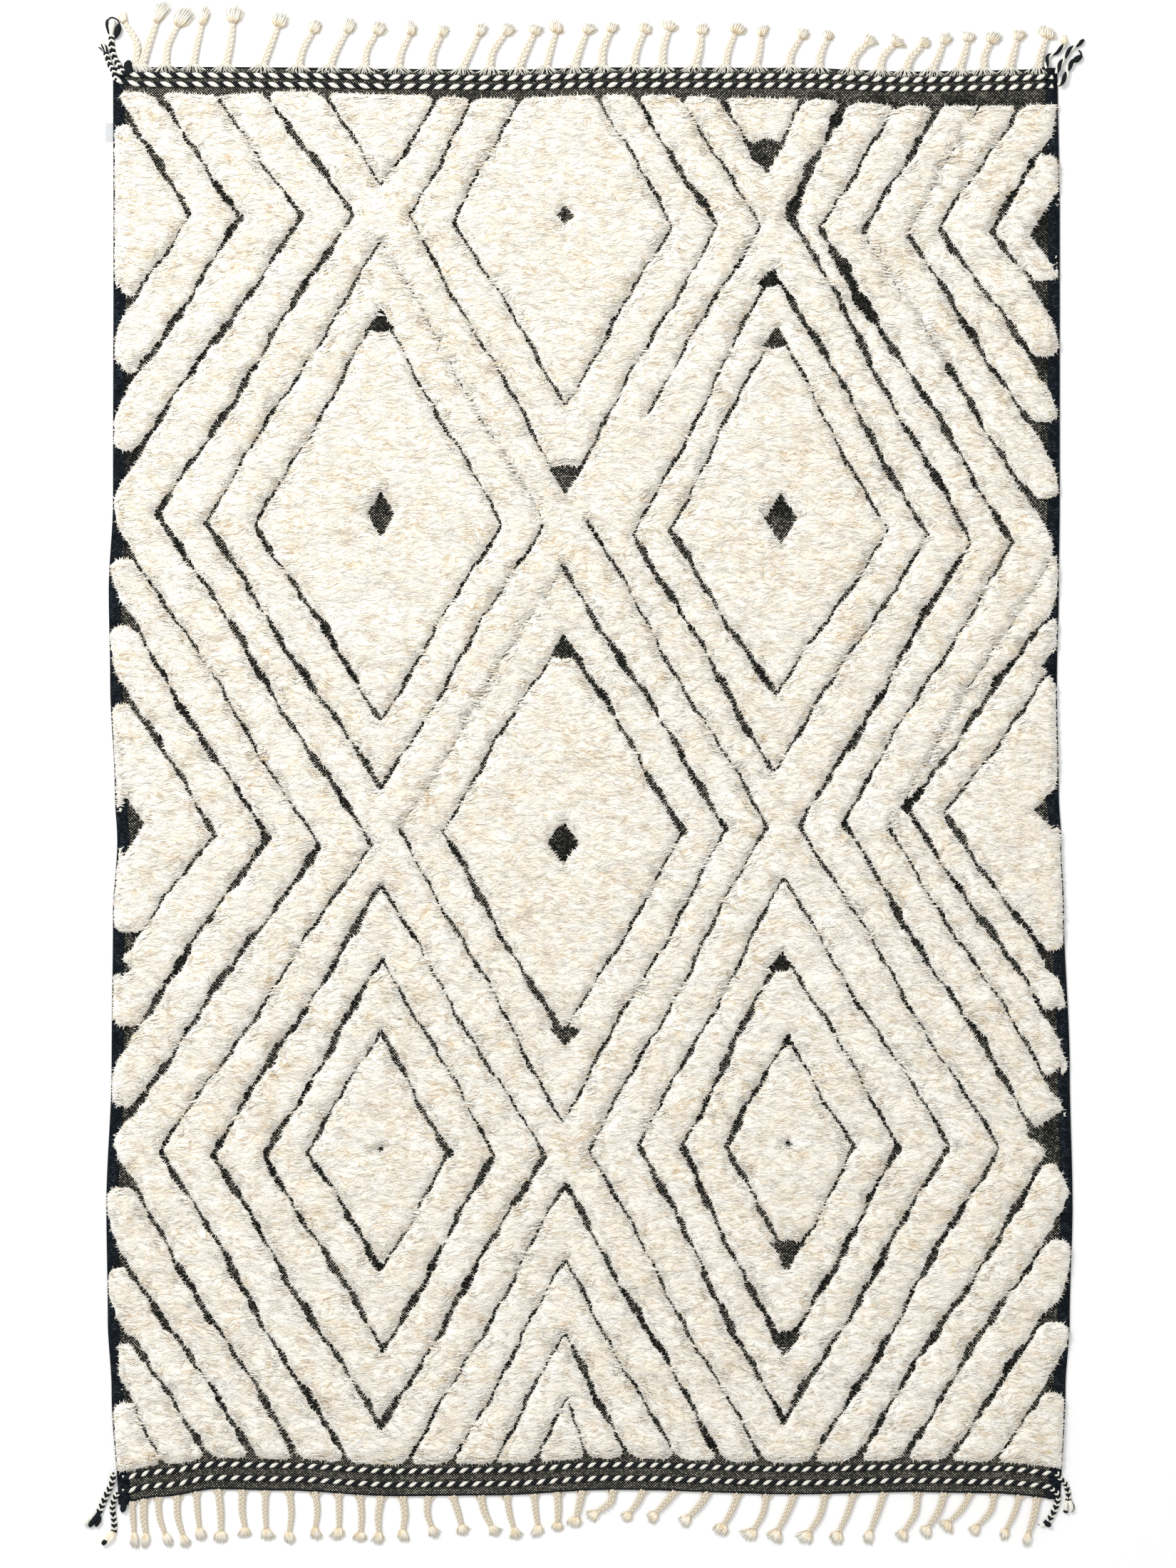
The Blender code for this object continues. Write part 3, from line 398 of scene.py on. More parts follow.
LINES = (
    Line("top left 1", "pn", ((-95, 138.5), (-83.5, 119), (-93.5, 103.5))),
    Line("top left 2", "pp", ((-90, 143.5), (-72.5, 118.5), (-92.5, 88.5))),
    Line("top left 3", "np", ((-77, 143), (-59.5, 119), (-93, 71))),
    Line("left zigzag", "pppnp", (
        (-67, 144.5), (-49, 119), (-90, 56), (-45, -14), (-89.5, -78.5), (-49.5, -145))),
    Line("top V left", "nn", ((-55.5, 145), (-43, 125.5), (-31.5, 143))),
    Line("top V right", "pn", ((28.5, 144.5), (38.5, 128.5), (46.5, 143.5))),
    Line("top middle outer", "nnnp", ((-23.5, 143.5), (-37, 119), (-4, 60.5), (28, 117), (10.5, 144.5))),
    Line("top middle inner", "nnnn", ((-14, 143.5), (-27.5, 117.5), (-4, 79), (18.5, 116.5), (3, 143.5))),
    Line("top middle right", "nn", ((20, 145), (37, 116.5), (13.5, 77.5))),
    Line("right of middle", "nnnp", ((0.5, 54.5), (38.5, -10), (1, -78.5), (38, -145))),
    Line("right zigzag", "wppnp", (
        (55, 143), (43.5, 119), (81.5, 50), (45.5, -10), (87.5, -78), (47.5, -145))),
    Line("right zigzag 2", "nwpnp", (
        (66, 142), (49.5, 116.5), (67, 88.1), (90.5, 50), (54.5, -9), (91.5, -68.5))),
    Line("top right 3", "pfp", ((74, 141), (59, 115.5), (76.6, 87.3), (94, 59.5))),
    Line("top right 4", "fp", ((83, 141), (68, 115), (94, 75.5))),
    Line("top right 5", "np", ((91, 141), (75, 116.5), (93, 90.5))),
    Line("top right 6", "pp", ((98, 134.5), (86, 115.5), (93, 106))),
    Line("left 1", "pn", ((-95, 15.5), (-78, -12), (-92, -30))),
    Line("left 2", "pp", ((-95.5, 32.5), (-67, -12.5), (-93, -50))),
    Line("left 3", "np", ((-95.5, 48), (-56, -14), (-95, -69))),
    Line("right 3", "fn", ((99, 48), (64, -10), (97.5, -63))),
    Line("right 4", "pp", ((99, 35.5), (68, -6), (97.5, -50))),
    Line("right 5", "np", ((98, 22), (76, -7), (97, -37.5))),
    Line("bottom left 5", "p", ((-96.5, -84.5), (-59.5, -145))),
    Line("bottom left 6", "p", ((-97.5, -100.5), (-68.5, -145))),
    Line("bottom left 7", "p", ((-98, -115.5), (-78, -145))),
    Line("bottom left 8", "n", ((-96.5, -130.5), (-88.5, -145))),
    Line("bottom right 5", "p", ((97.5, -80.5), (56.5, -145))),
    Line("bottom right 6", "p", ((101, -91.5), (66, -145))),
    Line("bottom right 7", "p", ((100.5, -109.5), (75.5, -145))),
    Line("bottom right 8", "n", ((100, -124.5), (85.5, -145))),
    Line("bottom middle 1", "np", ((-37.5, -145), (-4, -85.5), (29.5, -145))),
    Line("bottom middle 2", "nn", ((-28.5, -145), (-4, -101.5), (20, -145))),
    Line("bottom middle 3", "np", ((-19.5, -145), (-4, -117), (10.5, -145))),
    Line("bottom middle 4", "nn", ((-10.5, -145), (-3.5, -130.5), (1.5, -145))),
)
Bare = namedtuple("Bare", "name x y left right up down")
BARE_PATCHES = (
    Bare("mark, top middle", -4.0, 119.0, 1.8, 1.8, 2.2, 2.2),
    Bare("mark, upper left", -43.0, 56.0, 3.0, 3.0, 5.0, 5.0),
    Bare("mark, upper right", 41.5, 55.0, 3.5, 3.5, 5.5, 5.5),
    Bare("mark, middle", -4.5, -13.5, 3.5, 3.5, 4.6, 4.6),
    Bare("mark, lower left", -43.0, -78.0, 0.9, 0.9, 0.9, 0.9),
    Bare("mark, lower right", 43.0, -77.0, 0.9, 0.9, 0.9, 0.9),
    Bare("tip, top V right", 38.5, 134.0, 4.0, 4.0, 1.5, 6.0),
    Bare("tip, top middle outer", -4.0, 65.5, 3.6, 3.6, 1.0, 5.5),
    Bare("tip, upper left inner", -43.0, 95.0, 3.2, 3.2, 3.5, 0.8),
    Bare("tip, upper right middle", 39.0, 104.5, 2.8, 2.8, 3.0, 0.8),
    Bare("tip, upper right inner", 40.0, 91.5, 2.6, 2.6, 3.2, 0.8),
    Bare("tip, middle inner", -4.5, 26.0, 2.6, 2.6, 3.0, 0.8),
    Bare("tip, middle inner foot", -4.0, -52.8, 3.4, 3.4, 0.8, 3.8),
    Bare("tip, lower right middle", 41.5, -40.0, 3.0, 3.0, 3.2, 0.8),
    Bare("tip, lower right inner", 43.0, -98.0, 4.0, 4.0, 0.8, 4.0),
    Bare("tip, lower right foot", 43.0, -117.0, 3.0, 3.0, 0.8, 4.2),
    Bare("notch, left 1", -98.0, 100.5, 0.8, 2.4, 3.0, 3.2),
    Bare("notch, left 2", -98.0, 84.5, 0.8, 2.4, 3.0, 3.0),
    Bare("notch, left 3", -98.0, 65.5, 0.8, 2.6, 2.8, 2.8),
    Bare("notch, left 4", -98.0, 49.5, 0.8, 2.2, 2.2, 2.4),
    Bare("notch, left 5", -97.0, -9.5, 0.8, 4.2, 6.2, 6.5),
    Bare("notch, left 6", -97.6, -40.0, 0.8, 2.0, 2.0, 2.0),
    Bare("notch, left 7", -97.6, -54.0, 0.8, 2.0, 1.6, 1.6),
    Bare("notch, left 8", -98.0, -71.0, 0.8, 2.6, 2.4, 2.6),
    Bare("notch, right 1", 98.8, 115.0, 5.0, 0.8, 7.5, 6.5),
    Bare("notch, right 5", 98.6, 24.0, 2.4, 0.8, 2.2, 2.2),
    Bare("notch, right 6", 98.8, -6.5, 4.0, 0.8, 4.0, 4.0),
    Bare("notch, right 7", 99.6, -39.8, 2.4, 0.8, 2.0, 2.0),
    Bare("notch, right 8", 99.8, -49.8, 2.4, 0.8, 2.0, 2.0),
    Bare("notch, right 9", 100.2, -63.0, 2.4, 0.8, 2.2, 2.2),
    Bare("notch, right 10", 100.8, -75.0, 8.0, 0.8, 5.0, 5.2),
)
CHANNEL_STEP = 0.006
NARROWEST_SHARE = 0.05
NEAR_SIDE = 88
RUN_OUT = 12
# How long the bare gap at a channel's end is and how far its foot drops, by how far up the channel ends.
Gap = namedtuple("Gap", "above length drop")
GAPS = {
    "left": (Gap(-150, 9.5, 0.0),),
    "right": (Gap(125, 7.0, 0.0), Gap(52, 11.5, 1.8), Gap(0, 3.0, 0.0), Gap(-150, 10.5, 0.0)),
}
CELL = 0.002
MAP_REACH = 0.050
MAP_LOW = (-1.06, -1.57)
MAP_HIGH = (1.07, 1.52)
SIDE_INSET = 0.003
SIDE_ROUNDING = 0.022
END_ROUNDING = 0.018
FRAY = 0.0013
FRAY_LENGTH = 0.0090
FRAY_SEED = 5


def drift(x, y, length, seed):
    """A smooth random field from about -1 to 1, with hills about length across."""
    rolls = np.random.default_rng(seed)
    field = np.zeros(np.shape(x))
    for _ in range(6):
        turn = rolls.uniform(0, math.tau)
        reach = length * rolls.uniform(0.6, 1.6)
        start = rolls.uniform(0, math.tau)
        field += np.sin((x * math.cos(turn) + y * math.sin(turn)) * math.tau / reach + start)
    return field / 2.4


def channel_samples(line, phase):
    """Points along a channel with half its width at each, both wandering as hand knotting does."""
    samples = []
    run = 0.0
    for letter, start, stop in zip(line.legs, line.corners, line.corners[1:]):
        start, stop = Vector(start) * CM, Vector(stop) * CM
        leg = stop - start
        across = Vector((-leg.y, leg.x)).normalized()
        count = max(1, round(leg.length / CHANNEL_STEP))
        for number in range(1 if samples else 0, count + 1):
            share = number / count
            along = run + leg.length * share
            sway = sum(reach * math.sin(along / length + phase) for reach, length in SWAYS)
            sway *= math.sin(math.pi * share) ** 0.5
            wider = sum(
                share_of * math.sin(along / length + turns * phase)
                for turns, (share_of, length) in enumerate(UNEVEN, 1)
            )
            half = LEG_WIDTH[letter] / 2 * max(NARROWEST_SHARE, 1 + wider)
            samples.append((start + leg * share + across * sway, half))
        run += leg.length
    return samples


def run_out(corners):
    """Carries a channel's ends on to the rug's side where they come near it."""
    corners = [Vector(corner) for corner in corners]
    for end, inner in ((0, 1), (-1, -2)):
        if abs(corners[end].x) > NEAR_SIDE:
            corners[end] = corners[end] + (corners[end] - corners[inner]).normalized() * RUN_OUT
    return corners


def chart_channels():
    lines = [
        Line(shape.name, shape.legs, (
            (shape.x, shape.y + shape.up), (shape.x + shape.right, shape.y),
            (shape.x, shape.y - shape.down), (shape.x - shape.left, shape.y),
            (shape.x, shape.y + shape.up),
        ))
        for shape in LOZENGES
    ] + [Line(line.name, line.legs, run_out(line.corners)) for line in LINES]
    return [channel_samples(line, PHASE_STEP * number) for number, line in enumerate(lines)]


def side_gaps():
    """The three corners of each bare gap that a channel opens into at the side, clockwise."""
    gaps = []
    for line in LINES:
        outer = run_out(line.corners)
        for end, inner in ((0, 1), (-1, -2)):
            if abs(line.corners[end][0]) <= NEAR_SIDE:
                continue
            along = (outer[end] - outer[inner]).normalized()
            side = "left" if outer[end].x < 0 else "right"
            side_x = edge_at(SIDES, side, outer[end].y * CM) / CM
            foot = outer[end] + along * ((side_x - outer[end].x) / along.x)
            gap = next(row for row in GAPS[side] if line.corners[end][1] > row.above)
            head = foot - along * gap.length
            foot.y -= gap.drop
            corners = [head, Vector((side_x, head.y)), foot]
            if (corners[1] - corners[0]).cross(corners[2] - corners[0]) > 0:
                corners.reverse()
            gaps.append([corner * CM for corner in corners])
    return gaps


def patch_corners(patch):
    centre = Vector((patch.x, patch.y)) * CM
    return [
        centre + Vector((-patch.left * CM, 0)),
        centre + Vector((0, patch.up * CM)),
        centre + Vector((patch.right * CM, 0)),
        centre + Vector((0, -patch.down * CM)),
    ]


SHORTEST_OUTLINE = 12
OUTLINE_STEP = 3
# Which sides of a map's cell an outline crosses, by which of its four corners lie deeper.
CELL_CROSSINGS = {
    1: ((3, 0),), 2: ((0, 1),), 3: ((3, 1),), 4: ((1, 2),), 5: ((3, 0), (1, 2)),
    6: ((0, 2),), 7: ((3, 2),), 8: ((2, 3),), 9: ((0, 2),), 10: ((0, 1), (2, 3)),
    11: ((1, 2),), 12: ((1, 3),), 13: ((0, 1),), 14: ((0, 3),),
}


class PileMap:
    """How deep inside the pile each place of a fine grid lies: below zero on bare ground."""

    def __init__(self, channels):
        self.x = np.arange(MAP_LOW[0], MAP_HIGH[0], CELL)
        self.y = np.arange(MAP_LOW[1], MAP_HIGH[1], CELL)
        self.bare = np.full((len(self.y), len(self.x)), MAP_REACH)
        for samples in channels:
            for (start, start_half), (stop, stop_half) in zip(samples, samples[1:]):
                self.press_leg(start, start_half, stop, stop_half)
        for patch in BARE_PATCHES:
            self.press_patch(patch_corners(patch))
        for corners in side_gaps():
            self.press_patch(corners)
        x, y = np.meshgrid(self.x, self.y)
        to_side = np.minimum(x - edge(SIDES, "left", y), edge(SIDES, "right", y) - x) - SIDE_INSET
        to_end = np.minimum(edge(ENDS, "pile", x) - y, y - edge(ENDS, "bottom", x) - BOTTOM_PILE_INSET)
        self.depth = np.minimum(self.rounded(to_side, SIDE_ROUNDING), self.rounded(to_end, END_ROUNDING))
        self.depth += FRAY * drift(x, y, FRAY_LENGTH, FRAY_SEED)
        slope_y, slope_x = np.gradient(self.depth, CELL)
        steepness = np.hypot(slope_x, slope_y) + 1e-6
        self.out_x, self.out_y = -slope_x / steepness, -slope_y / steepness

    def rounded(self, rim, radius):
        """How deep inside the pile a place lies, where bands end at a rim in rounded tongues."""
        corner = radius - np.hypot(np.clip(radius - self.bare, 0, None), np.clip(radius - rim, 0, None))
        nearest = np.minimum(self.bare, rim)
        return np.where(nearest < radius, np.minimum(corner, nearest), nearest)

    def window(self, points, margin):
        low_x = min(point.x for point in points) - margin
        high_x = max(point.x for point in points) + margin
        low_y = min(point.y for point in points) - margin
        high_y = max(point.y for point in points) + margin
        columns = slice(*np.searchsorted(self.x, (low_x, high_x)))
        rows = slice(*np.searchsorted(self.y, (low_y, high_y)))
        return rows, columns

    def press_leg(self, start, start_half, stop, stop_half):
        rows, columns = self.window((start, stop), MAP_REACH + max(start_half, stop_half))
        x, y = self.x[columns][None, :] - start.x, self.y[rows][:, None] - start.y
        leg = stop - start
        share = np.clip((x * leg.x + y * leg.y) / leg.length_squared, 0, 1)
        clear = np.hypot(x - share * leg.x, y - share * leg.y)
        clear -= start_half + (stop_half - start_half) * share
        self.bare[rows, columns] = np.minimum(self.bare[rows, columns], clear)

    def press_patch(self, corners):
        rows, columns = self.window(corners, MAP_REACH)
        x, y = self.x[columns][None, :], self.y[rows][:, None]
        clear = np.full((len(self.y[rows]), len(self.x[columns])), -1.0)
        for start, stop in zip(corners, corners[1:] + corners[:1]):
            along = (stop - start).normalized()
            clear = np.maximum(clear, along.x * (y - start.y) - along.y * (x - start.x))
        self.bare[rows, columns] = np.minimum(self.bare[rows, columns], clear)

    def outlines(self, level):
        """Closed lines round the pile, where the map's depth passes the level, a point every few cells."""
        deeper = (self.depth > level).astype(int)
        case = deeper[:-1, :-1] + 2 * deeper[:-1, 1:] + 4 * deeper[1:, 1:] + 8 * deeper[1:, :-1]
        width = len(self.x)
        next_to = {}
        for row, column in zip(*np.nonzero((case > 0) & (case < 15))):
            low = 2 * (row * width + column)
            crossed = (low, low + 3, low + 2 * width, low + 1)
            for first, second in CELL_CROSSINGS[case[row, column]]:
                next_to.setdefault(crossed[first], []).append(crossed[second])
                next_to.setdefault(crossed[second], []).append(crossed[first])
        lines = []
        while next_to:
            place, _ = next(iter(next_to.items()))
            line = []
            while place in next_to:
                line.append(place)
                ahead = [other for other in next_to.pop(place) if other in next_to]
                place = ahead[0] if ahead else None
            if len(line) >= SHORTEST_OUTLINE:
                lines.append(self.crossings(np.array(line[::OUTLINE_STEP]), level))
        return lines

    def crossings(self, numbers, level):
        """The places where the level passes the numbered sides of the map's cells."""
        row, column = np.divmod(numbers // 2, len(self.x))
        up = numbers % 2
        here, there = self.depth[row, column], self.depth[row + up, column + 1 - up]
        share = (level - here) / (there - here)
        return np.stack((self.x[column] + CELL * share * (1 - up), self.y[row] + CELL * share * up), axis=1)

    def read(self, layer, x, y):
        """A layer of the map at places between its cells."""
        column = np.clip((x - self.x[0]) / CELL, 0, len(self.x) - 1.001)
        row = np.clip((y - self.y[0]) / CELL, 0, len(self.y) - 1.001)
        column_low, row_low = column.astype(int), row.astype(int)
        right, up = column - column_low, row - row_low
        return (
            layer[row_low, column_low] * (1 - right) * (1 - up)
            + layer[row_low, column_low + 1] * right * (1 - up)
            + layer[row_low + 1, column_low] * (1 - right) * up
            + layer[row_low + 1, column_low + 1] * right * up
        )


SLAB_FOOT = 0.0030
SLAB_EDGE = 0.0105
SLAB_TOP = 0.0185
SHOULDER = 0.012
SLAB_BACK = 0.0005
SLAB_PITCH = 0.018
SLAB_SPANS = ((-1.02, 1.03), (-1.46, 1.45))
SLAB_SEED = 7
SLAB_CLEAR = 0.006
SLAB_MERGE = 0.0004
LUMP = 0.0018
RIPPLE = 0.0014
RIPPLE_PITCH = 0.0135
RIPPLE_LENGTH = 0.075
RIPPLE_SEEDS = (21, 22)
WOOL_TONE = 0.58
# Painted shading of the pile: painted light on the ripples' crests, painted shade in their hollows, and
# painted light along the channels' edges.
RIPPLE_PAINTED_SHADING = 0.07
EDGE_PAINTED_LIGHT = 0.16
EDGE_PAINTED_LIGHT_REACH = 0.010
WALL_SHADE = 0.3
SLAB_SHADE = 0.06


def ripples(x, y):
    """Rows of locks that lie together, as wavy ridges from side to side, from -1 to 1."""
    bend = 1.6 * drift(x, y * 0.6, RIPPLE_LENGTH, RIPPLE_SEEDS[0])
    bend += 0.8 * drift(x, y, RIPPLE_LENGTH * 0.4, RIPPLE_SEEDS[1])
    return np.sin(y * math.tau / RIPPLE_PITCH + 2.2 * bend)


def tone_and_painted_shading(x, y, depth):
    """How white the wool looks: its own tone, with painted light along the channels and painted shade in the
    hollows between ripples.
    """
    # Painted light along the channels, fading inwards.
    painted_edge_light = EDGE_PAINTED_LIGHT * np.exp(-np.clip(depth, 0, None) / EDGE_PAINTED_LIGHT_REACH)
    return WOOL_TONE + RIPPLE_PAINTED_SHADING * ripples(x, y) * np.clip(depth / SHOULDER, 0, 1) + painted_edge_light


def pile_height(x, y, depth):
    """The top of the slab of knots under the locks."""
    share = np.clip((depth - SLAB_BACK) / SHOULDER, 0, 1)
    share = share * (2 - share)
    lumps = np.sin(x / 0.041 + 1.3 * np.sin(y / 0.067)) + 0.7 * np.sin(y / 0.029 + 1.7 * np.sin(x / 0.053))
    return SLAB_EDGE + (SLAB_TOP - SLAB_EDGE + LUMP * lumps) * share


def scattered(rolls, spans, pitch, jitter):
    """Places on a loose grid over two spans, each moved by up to the jitter either way."""
    x, y = np.meshgrid(*(np.arange(*span, step) for span, step in zip(spans, pitch)))
    x = x + rolls.uniform(-jitter[0], jitter[0], x.shape)
    y = y + rolls.uniform(-jitter[1], jitter[1], y.shape)
    return x.ravel(), y.ravel()


def build_slab(pile):
    """The knots under the locks: a lumpy shell whose edges follow the pile's, walled down to the cloth."""
    points, lines = [], []
    for line in pile.outlines(SLAB_BACK):
        first, last = len(points), len(points) + len(line) - 1
        points.extend(Vector(place) for place in line)
        lines.extend(zip(range(first, last), range(first + 1, last + 1)))
        lines.append((last, first))
    rolls = np.random.default_rng(SLAB_SEED)
    x, y = scattered(rolls, SLAB_SPANS, (SLAB_PITCH, SLAB_PITCH), (0.3 * SLAB_PITCH, 0.3 * SLAB_PITCH))
    inner = pile.read(pile.depth, x, y) > SLAB_BACK + SLAB_CLEAR
    points.extend(Vector(place) for place in zip(x[inner], y[inner]))
    flat, _, faces, *_ = delaunay_2d_cdt(points, lines, [], 0, SLAB_MERGE)
    flat = np.array([tuple(point) for point in flat])
    faces = np.array(faces)
    middle = flat[faces].mean(axis=1)
    faces = faces[pile.read(pile.depth, middle[:, 0], middle[:, 1]) > SLAB_BACK]
    depth = pile.read(pile.depth, flat[:, 0], flat[:, 1])
    height = pile_height(flat[:, 0], flat[:, 1], depth)
    bm = bmesh.new()
    verts = [bm.verts.new((x, y, z)) for (x, y), z in zip(flat, height)]
    for face in faces:
        bm.faces.new([verts[number] for number in face])
    loose = [vert for vert in bm.verts if not vert.link_faces]
    bmesh.ops.delete(bm, geom=loose, context="VERTS")
    walls = bmesh.ops.extrude_edge_only(bm, edges=[e for e in bm.edges if e.is_boundary])["geom"]
    for vert in walls:
        if isinstance(vert, bmesh.types.BMVert):
            to_side = min(
                vert.co.x - edge_at(SIDES, "left", vert.co.y),
                edge_at(SIDES, "right", vert.co.y) - vert.co.x,
            )
            vert.co.z = SLAB_FOOT if to_side > SELVEDGE_WIDTH else SELVEDGE_HEIGHT * 0.9
    mesh = mesh_from("knotted_slab", bm)
    places = np.empty(len(mesh.vertices) * 3)
    mesh.vertices.foreach_get("co", places)
    x, y, z = places.reshape(-1, 3).T
    shade = np.where(z < SLAB_EDGE * 0.9, WALL_SHADE, SLAB_SHADE)
    tone = tone_and_painted_shading(x, y, pile.read(pile.depth, x, y)) - shade
    mesh.attributes.new("tone", "FLOAT", "POINT").data.foreach_set("value", tone.astype(np.float32))
    mesh.shade_smooth()
    return mesh


LOCK_SEED = 41
LOCK_PITCH = 0.0086
LOCK_ROW = 0.7 * LOCK_PITCH
LOCK_SPANS = ((-1.0, 1.01), (-1.46, 1.45))
LOCK_LENGTH = 0.019
LONGER = (0.7, 1.25)
WIDER = (0.6, 1.35)
LOCK_HALF_WIDTH = 0.0021
LOCK_LIFT = 0.0009
LOCK_SINK = 0.0006
WAVE_OF_LOCKS = 0.36
WAVE_LENGTH = 0.055
WAVE_SEED = 31
CLUMP_LENGTH = 0.030
CLUMP_SEED = 33
STRAY_OF_LOCKS = 0.13
EDGE_REACH = 0.011
OVERHANG = 0.0024
TURNED_IN = 0.35
CUT_TO = 0.65
HAIR_PITCH = 0.0028
HAIR_SPANS = ((-1.02, 1.03), (-1.46, 1.46))
HAIR_BAND = (0.0004, 0.0026)
HAIR_OVER = (0.0010, 0.0090)
HAIR_HALF_WIDTH = 0.0009
HAIR_STRAY = 0.45
LOCKS_PER_PIECE = 45000
# A lock is a long tooth of four faces: three corners at its root and one at its tip. Each row says how
# far along its corners lie, each as sideways and up, and how far the lock bows there.
LOCK_SHAPE = ((0.0, ((-1.0, -0.1), (0.0, 1.0), (1.0, -0.1)), 0.0), (1.0, ((0.0, 0.7),), 0.5))
LOCK_FACES = ((0, 1, 2), (0, 3, 1), (1, 3, 2), (2, 3, 0))
HOLLOW_PAINTED_SHADE = 0.36
LOCK_ROUND = 0.35
SLOPE_STEP = 0.004
STEEPEST = 0.45


def lay_locks(pile, rolls):
    """Root, direction and length of every lock: sideways in clumps, turned along the channels beside them."""
    x, y = scattered(rolls, LOCK_SPANS, (LOCK_PITCH, LOCK_ROW), (LOCK_PITCH / 2, LOCK_ROW / 2))
    depth = pile.read(pile.depth, x, y)
    kept = depth > SLAB_BACK * 0.6
    x, y, depth = x[kept], y[kept], depth[kept]
    turn = WAVE_OF_LOCKS * drift(x * 0.7, y, WAVE_LENGTH, WAVE_SEED)
    turn += rolls.normal(0, STRAY_OF_LOCKS, x.shape)
    clump = drift(x, y, CLUMP_LENGTH, CLUMP_SEED) + rolls.normal(0, 0.3, x.shape)
    turn += np.where(clump > 0, math.pi, 0.0)
    way = np.array((np.cos(turn), np.sin(turn)))
    out = np.array((pile.read(pile.out_x, x, y), pile.read(pile.out_y, x, y)))
    outward = (way * out).sum(axis=0)
    near = np.clip(1 - depth / EDGE_REACH, 0, 1)
    way -= out * np.where(outward > 0, outward * near * TURNED_IN, 0)
    way /= np.hypot(*way)
    length = LOCK_LENGTH * rolls.uniform(*LONGER, x.shape)
    for _ in range(3):
        lowest = np.min([
            pile.read(pile.depth, x + way[0] * length * share, y + way[1] * length * share)
            for share in (0.2, 0.4, 0.6, 0.8, 1.0)
        ], axis=0)
        length = np.where(lowest < -OVERHANG * rolls.uniform(0.3, 1.0, x.shape), length * CUT_TO, length)
    half_width = LOCK_HALF_WIDTH * rolls.uniform(*WIDER, x.shape) * np.sqrt(length / LOCK_LENGTH)
    return x, y, way, length, half_width


def lay_hairs(pile, rolls):
    """Short fine locks that stand out over every edge of the pile."""
    x, y = scattered(rolls, HAIR_SPANS, (HAIR_PITCH, HAIR_PITCH * 0.8), (HAIR_PITCH / 2, HAIR_PITCH / 2))
    depth = pile.read(pile.depth, x, y)
    kept = (depth > HAIR_BAND[0]) & (depth < HAIR_BAND[1])
    x, y, depth = x[kept], y[kept], depth[kept]
    out_x, out_y = pile.read(pile.out_x, x, y), pile.read(pile.out_y, x, y)
    turn = np.arctan2(0.7 * out_y, out_x) + rolls.normal(0, HAIR_STRAY, x.shape)
    way = np.array((np.cos(turn), np.sin(turn)))
    over = HAIR_OVER[0] + (HAIR_OVER[1] - HAIR_OVER[0]) * rolls.uniform(0, 1, x.shape) ** 1.7
    for _ in range(4):
        tip = pile.read(pile.depth, x + way[0] * (depth + over), y + way[1] * (depth + over))
        over = np.where(tip > -0.35 * over, over * 0.6, over)
    return x, y, way, depth + over, HAIR_HALF_WIDTH * rolls.uniform(0.7, 1.6, x.shape)


def pile_top(x, y, depth):
    """The top of the slab with the ripples in which the locks lie."""
    return pile_height(x, y, depth) + RIPPLE * ripples(x, y) * np.clip(depth / SHOULDER, 0, 1)


def pile_slope(pile, x, y):
    """How the pile's top falls at a place, ripples included, as the x and y of its normal."""
    falls = []
    for step in ((SLOPE_STEP, 0), (0, SLOPE_STEP)):
        near = (x - step[0], y - step[1])
        far = (x + step[0], y + step[1])
        drop = pile_top(*near, pile.read(pile.depth, *near)) - pile_top(*far, pile.read(pile.depth, *far))
        falls.append(drop / (2 * SLOPE_STEP))
    return np.clip(falls, -STEEPEST, STEEPEST)


def lock_mesh(name, pile, laid, rolls, lift):
    """Joins locks into one mesh, each bent over the slab from its sunk root to its tip."""
    x, y, way, length, half_width = laid
    slope_x, slope_y = pile_slope(pile, x, y)
    normals = []
    count = len(x)
    across = np.array((-way[1], way[0]))
    stand = lift * rolls.uniform(0.4, 1.3, count)
    own_tone = rolls.normal(0.0, 0.05, count)
    sway = rolls.uniform(-0.10, 0.10, count) * length
    corners, tones = [], []
    tilt = across[0] * slope_x + across[1] * slope_y
    for along, ring, bowed in LOCK_SHAPE:
        at_x = x + way[0] * length * along + across[0] * sway * bowed
        at_y = y + way[1] * length * along + across[1] * sway * bowed
        depth = pile.read(pile.depth, at_x, at_y)
        lying = pile_top(at_x, at_y, depth) - (LOCK_SINK if along == 0 else 0.0)
        tone = tone_and_painted_shading(at_x, at_y, depth) + own_tone
        for sideways, up in ring:
            off = half_width * sideways
            corners.append((at_x + across[0] * off, at_y + across[1] * off, lying + up * stand - tilt * off))
            # The lower corners of each lock take painted shade, darkest where they sink towards the slab.
            tones.append(tone - HOLLOW_PAINTED_SHADE * (1 - up))
            round_x, round_y = across * sideways * LOCK_ROUND
            normals.append((slope_x + round_x, slope_y + round_y, np.ones(count)))
    per_lock = len(corners)
    faces = np.array(LOCK_FACES)
    numbers = (np.arange(count)[:, None, None] * per_lock + faces[None]).reshape(-1, 3)
    mesh = bpy.data.meshes.new(name)
    mesh.from_pydata(np.moveaxis(np.array(corners), 2, 0).reshape(-1, 3), [], numbers)
    tone = np.moveaxis(np.array(tones), 1, 0).astype(np.float32)
    mesh.attributes.new("tone", "FLOAT", "POINT").data.foreach_set("value", tone.ravel())
    lay_out_locks(mesh, count, len(faces))
    mesh.shade_smooth()
    normals = np.moveaxis(np.array(normals), 2, 0).reshape(-1, 3)
    normals /= np.linalg.norm(normals, axis=1)[:, None]
    mesh.normals_split_custom_set_from_vertices(normals.tolist())
    return mesh


